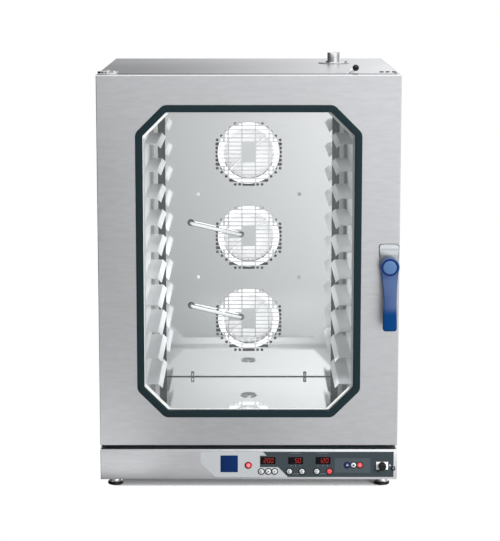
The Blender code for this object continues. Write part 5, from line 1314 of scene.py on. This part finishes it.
# %% [markdown]
# ## The control strip
# A printed film runs along the fascia: a pale label that meets a dark film along a slant.
# Both are thin plates cut from flat outlines, with holes where the buttons, displays and lamp come through.
# Printing could be drawn in a material, but thin plates keep their edges sharp at any distance.
# The badge is a plain blue plate with a soft edge, which stands a little proud of the label.

# %% The label and the dark film
SLANT_TOP = 0.038
SLANT_FOOT = 0.106
LABEL_CORNER = 0.040
NOTCH_X = 0.0302
NOTCH_FOOT = 0.0645
NOTCH_TOP = 0.0966
JOINT = 0.0004
LAMP_HOLE = 0.0074
PROBE_HOLE = 0.0064
BUTTON_RADIUS = 0.0070
BUTTON_GAP = 0.0003
BUTTONS = [f"button_{index}" for index in range(1, 8)]
MODES = [f"mode_button_{index}" for index in range(1, 4)]
DISPLAYS = [(0.052, "200"), (0.1265, "50"), (0.2005, "120")]
DISPLAY_Z = 0.0826
DISPLAY_WIDTH = 0.0406
DISPLAY_HEIGHT = 0.0203

overlay_low, overlay_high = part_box("panel_overlay")
film_near = overlay_low.y - FRONT
film_far = overlay_high.y - FRONT
film_foot, film_top = overlay_low.z, overlay_high.z
film_left, film_right = overlay_low.x, overlay_high.x
lamp = middle("power_lamp")
probe = middle("probe_socket")


def slant(z):
    """The point of the slanted joint between the label and the film, at a height."""
    return (SLANT_TOP + (SLANT_FOOT - SLANT_TOP) * (film_top - z) / (film_top - film_foot), z)


def holes_for(nodes):
    """The outlines that let buttons through."""
    spots = [middle(node) for node in nodes]
    return [ring((spot.x, spot.z), BUTTON_RADIUS + BUTTON_GAP, 28) for spot in spots]


def windows(gap):
    """The outlines of the displays, drawn in by a gap."""
    height = around(DISPLAY_Z, DISPLAY_HEIGHT - gap)
    return [rectangle(around(x, DISPLAY_WIDTH - gap), height) for x, text in DISPLAYS]


seam = [slant(film_foot), slant(NOTCH_FOOT), (NOTCH_X, NOTCH_FOOT), (NOTCH_X, NOTCH_TOP), slant(NOTCH_TOP),
        slant(film_top)]
label_edge = [(film_left + LABEL_CORNER, film_foot)] + [(x - JOINT, z) for x, z in seam]
label_edge += [(film_left, film_top), (film_left, film_foot + LABEL_CORNER)]
label_loops = [label_edge] + holes_for(BUTTONS[:3]) + [ring((lamp.x, lamp.z), LAMP_HOLE, 28)]
place("pale_label", plate(label_loops, film_near, film_far), label, "panel_overlay", True)
film_edge = [(film_right, film_foot), (film_right, film_top)] + [(x + JOINT, z) for x, z in reversed(seam)]
film_loops = [film_edge] + holes_for(BUTTONS[3:] + MODES) + windows(0)
film_loops.append(ring((probe.x, probe.z), PROBE_HOLE, 28))
place("dark_film", plate(film_loops, film_near, film_far), film, "panel_overlay")
print(f"label with {len(label_loops) - 1} holes, film with {len(film_loops) - 1}")

# %% Printing and the badge
PRINT = 0.00012
GROUP = rectangle((0.232, 0.328), (0.049, 0.0895))
UNDERLINES_X = ((0.118, 0.136), (0.192, 0.210))
UNDERLINE_Z = (0.0455, 0.0463)
OVERLINE_WIDTH = 0.030
OVERLINE_DROP = (-0.0042, -0.0036)
DOT_ROW_X = (-0.012, 0, 0.012)
DOT_ROW_Z = 0.0684
DOT_ROW_RADIUS = 0.0011
BADGE_SPOT = (-0.0525, 0.074)
BADGE_SIZE = 0.0465
BADGE_CORNER = 0.0008
BADGE_EDGE = 0.0003
BADGE_DEPTHS = (-0.0010, -0.00005)

group = plate([GROUP] + holes_for(MODES), film_near - PRINT, film_near)
place("mode_group", group, film_light, "panel_overlay")
marks = [rectangle(x, UNDERLINE_Z) for x in UNDERLINES_X]
for x, text in DISPLAYS[1:]:
    marks += [ring((x + across, DOT_ROW_Z), DOT_ROW_RADIUS, 10) for across in DOT_ROW_X]
    marks.append(rectangle(around(x, OVERLINE_WIDTH), span(film_top, *OVERLINE_DROP)))
place("film_marks", plate(marks, film_near - PRINT, film_near), film_mark, "panel_overlay")
badge_loop = oblong(BADGE_SPOT, BADGE_SIZE, BADGE_SIZE, BADGE_CORNER, 2)
badge = plate([badge_loop], *span(film_near, *BADGE_DEPTHS))
place("blank_badge", soften(badge, BADGE_EDGE, 2), badge_blue, "panel_overlay")
print(f"{len(marks)} printed marks and a blank badge")

# %% [markdown]
# ## Displays, buttons and the lamp
# Each display is a black window with red digits made of seven bars, which are drawn from a short table.
# A typeface would look too round for it, so each lit bar is a small six-sided outline.
# The buttons are turned domes in dark rings, each riding on its own key body so that it can be pressed.
# The lamp is a red dome with a paler heart, and the probe's cap hides a round socket on a bright plate.

# %% Displays
BARS = {"0": "abcdef", "1": "bc", "2": "abdeg", "5": "acdfg"}
DIGIT_HEIGHT = 0.0116
DIGIT_WIDTH = 0.0058
DIGIT_BAR = 0.0010
DIGIT_STEP = 0.0092
DIGITS_END = 0.0165
ITALIC = 0.12
BAR_GAP = 0.15
LENS_GAP = 0.0006
LENS_DEPTHS = (-0.0004, 0.0003)
DIGIT_DEPTHS = (-0.00055, -0.00042)


def bar_loop(start, end, thickness):
    """A six-sided bar between two points."""
    start, end = Vector(start), Vector(end)
    along = (end - start).normalized()
    across = Vector((-along.y, along.x)) * thickness / 2
    tip = along * thickness / 2
    start, end = start + along * thickness * BAR_GAP, end - along * thickness * BAR_GAP
    return [start, start + tip + across, end - tip + across, end, end - tip - across, start + tip - across]


def digit_loops(character, x, z):
    """The lit bars of one digit whose lower left corner is given."""
    w, h = DIGIT_WIDTH, DIGIT_HEIGHT
    ends = {"a": ((0, h), (w, h)), "b": ((w, h / 2), (w, h)), "c": ((w, 0), (w, h / 2)),
            "d": ((0, 0), (w, 0)), "e": ((0, 0), (0, h / 2)), "f": ((0, h / 2), (0, h)),
            "g": ((0, h / 2), (w, h / 2))}
    for bar in BARS[character]:
        yield [(x + point.x + ITALIC * point.y, z + point.y) for point in bar_loop(*ends[bar], DIGIT_BAR)]


place("display_lenses", plate(windows(LENS_GAP), *LENS_DEPTHS), lens_black, "panel_overlay")
lit = []
for x, text in DISPLAYS:
    start = x + DIGITS_END - len(text) * DIGIT_STEP
    for index, character in enumerate(text):
        lit += digit_loops(character, start + index * DIGIT_STEP, DISPLAY_Z - DIGIT_HEIGHT / 2)
place("display_digits", plate(lit, *DIGIT_DEPTHS), digits, "panel_overlay")
print(f"{len(lit)} lit bars")

# %% Buttons
CROWN = 0.0027
DOME = [(0, CROWN), (0.0030, CROWN), (0.0050, CROWN - 0.0003), (0.0062, CROWN - 0.0009),
        (BUTTON_RADIUS, 0.0012), (BUTTON_RADIUS, -0.0018), (0.0081, -0.0018), (0.0081, -0.0033), (0, -0.0033)]
COLLAR_BORE = BUTTON_RADIUS + 0.0004
COLLAR = [(COLLAR_BORE, 0), (0.0093, 0), (0.0093, 0.0008), (0.0088, 0.0014), (COLLAR_BORE, 0.0014)]
STROKE = Vector((0.0024, 0.0026))
HEART = 0.0056
SLIM_HEART = 0.0026
MARK_DEPTHS = (-CROWN - 0.00025, -CROWN - 0.00002)
STROKE_WIDTH = 0.0022
ARC_RADII = (0.0036, 0.0022)
ARC_ENDS = (40, 300)
HEART_TRIM = 0.0001
FILM_GAP = 0.0001

film_face = FRONT + film_near - FILM_GAP


def push_button(node, finish):
    """A domed button, and the dark ring round it that stays with the film. Gives its middle."""
    spot = middle(node)
    place(node + "_dome", turned(DOME, (spot.x, FRONT, spot.z), FORWARD, 40), finish, node, True)
    place(node + "_ring", turned(COLLAR, (spot.x, film_face, spot.z), FORWARD, 40), black, "panel_overlay")
    return Vector((spot.x, spot.z))


def button_mark(node, loop, finish, name):
    """A mark printed on a button's crown."""
    place(f"{node}_{name}", plate([loop], *MARK_DEPTHS), finish, node)


for node in BUTTONS:
    spot = push_button(node, red if node == BUTTONS[-1] else white)
    if node in BUTTONS[1:3]:
        button_mark(node, bar_loop(spot - STROKE, spot + STROKE, STROKE_WIDTH), black, "mark")
    elif node != BUTTONS[-1]:
        half_ring = arc(spot, ARC_RADII[0], *ARC_ENDS, 16) + arc(spot, ARC_RADII[1], *ARC_ENDS[::-1], 16)
        button_mark(node, half_ring, black, "mark")
for node, finish, heart in zip(MODES, (mode_blue, white, red), (white, film, pink)):
    spot = push_button(node, finish)
    tall = SLIM_HEART if node == MODES[0] else HEART
    button_mark(node, oblong(spot, HEART, tall, tall / 2 - HEART_TRIM), heart, "heart")
print(f"{len(BUTTONS)} keys and {len(MODES)} mode keys")

# %% The lamp and the probe
BEZEL = [(0.0078, 0), (0.0095, 0), (0.0095, 0.0014), (0.0088, 0.0020), (0.0078, 0.0020)]
LENS = [(0, 0.0036), (0.0030, 0.0034), (0.0055, 0.0027), (0.0072, 0.0016), (0.0077, 0.0006), (0.0077, 0),
        (0.0068, 0), (0.0068, -0.0060), (0, -0.0060)]
LAMP_HEART = [(0, 0.00385), (0.0030, 0.0036), (0.0052, 0.0030), (0.0052, 0.0020), (0, 0.0020)]
CUP = [(0, 0.0135), (0.0050, 0.0138), (0.0088, 0.0136), (0.0102, 0.0128), (0.0108, 0.0112), (0.0108, 0),
       (0.0083, 0), (0.0083, 0.0090), (0, 0.0090)]
TETHER_SPOT = (0.3905, 0.061)
TETHER_RADIUS = 0.0046
TETHER_THICK = 0.0011
TETHER_LIFT = 0.0016
ANCHOR_X = 0.381
ANCHOR_GAP = 0.00005
TETHER_ANCHOR = 0.0026
PLATE_ANCHOR = 0.0028

for name, profile, finish in (("lamp_bezel", BEZEL, black), ("lamp_lens", LENS, glow),
                              ("lamp_heart", LAMP_HEART, pink)):
    place(name, turned(profile, (lamp.x, film_face, lamp.z), FORWARD), finish, "power_lamp", profile is LENS)
dress("probe_socket", "probe_plate", socket_plate, FINE_EDGE, 2, at_front("probe_socket"))
cap = middle("probe_cap")
cup = turned(CUP, (cap.x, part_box("probe_cap")[1].y, cap.z), FORWARD)
place("probe_cup", cup, black, "probe_cap", True)
tether = [(x, FRONT + film_near - TETHER_LIFT, z) for x, z in ring(TETHER_SPOT, TETHER_RADIUS)]
place("tether_ring", tube(tether, TETHER_THICK, 3, True), black, "probe_socket")
anchors = [screw_head((x, FRONT + film_near - ANCHOR_GAP, z), FORWARD, radius)
           for x, z, radius in ((*TETHER_SPOT, TETHER_ANCHOR), (ANCHOR_X, probe.z, PLATE_ANCHOR))]
place("tether_anchors", joined(*anchors), bright, "probe_socket")
print("lamp and probe")

# %% [markdown]
# ## What is left plain
# Pieces that hide inside keep their CAD shape and only take a finish, since nobody would see more.
# A table from node to finish gives each of these nodes its finish.

# %% Finishes for the nodes that stay
STAYS = {
    "outer_glass": glass, "inner_glass": glass, "latch_spindle": bright, "rear_panel": side_steel,
    "front_frame": panel_steel, "base_pan": zinc, "water_valve": brass, "chamber_wrapper": wall_steel,
    # The chamber's rear wall takes the dark steel as painted shade behind the fan panel.
    "chamber_rear": dark_steel_and_shade, "insulation_wrap": wool, "control_board": board, "damper_shaft": bright,
}
for fan in FANS:
    STAYS[f"fan_motor_{fan}"] = motor
    STAYS[f"heater_coil_{fan}"] = heater
for node, finish in STAYS.items():
    mesh = frame["nodes"][node].data
    mesh.materials.clear()
    mesh.materials.append(finish.material)
print(f"{len(STAYS)} CAD nodes keep their shape")
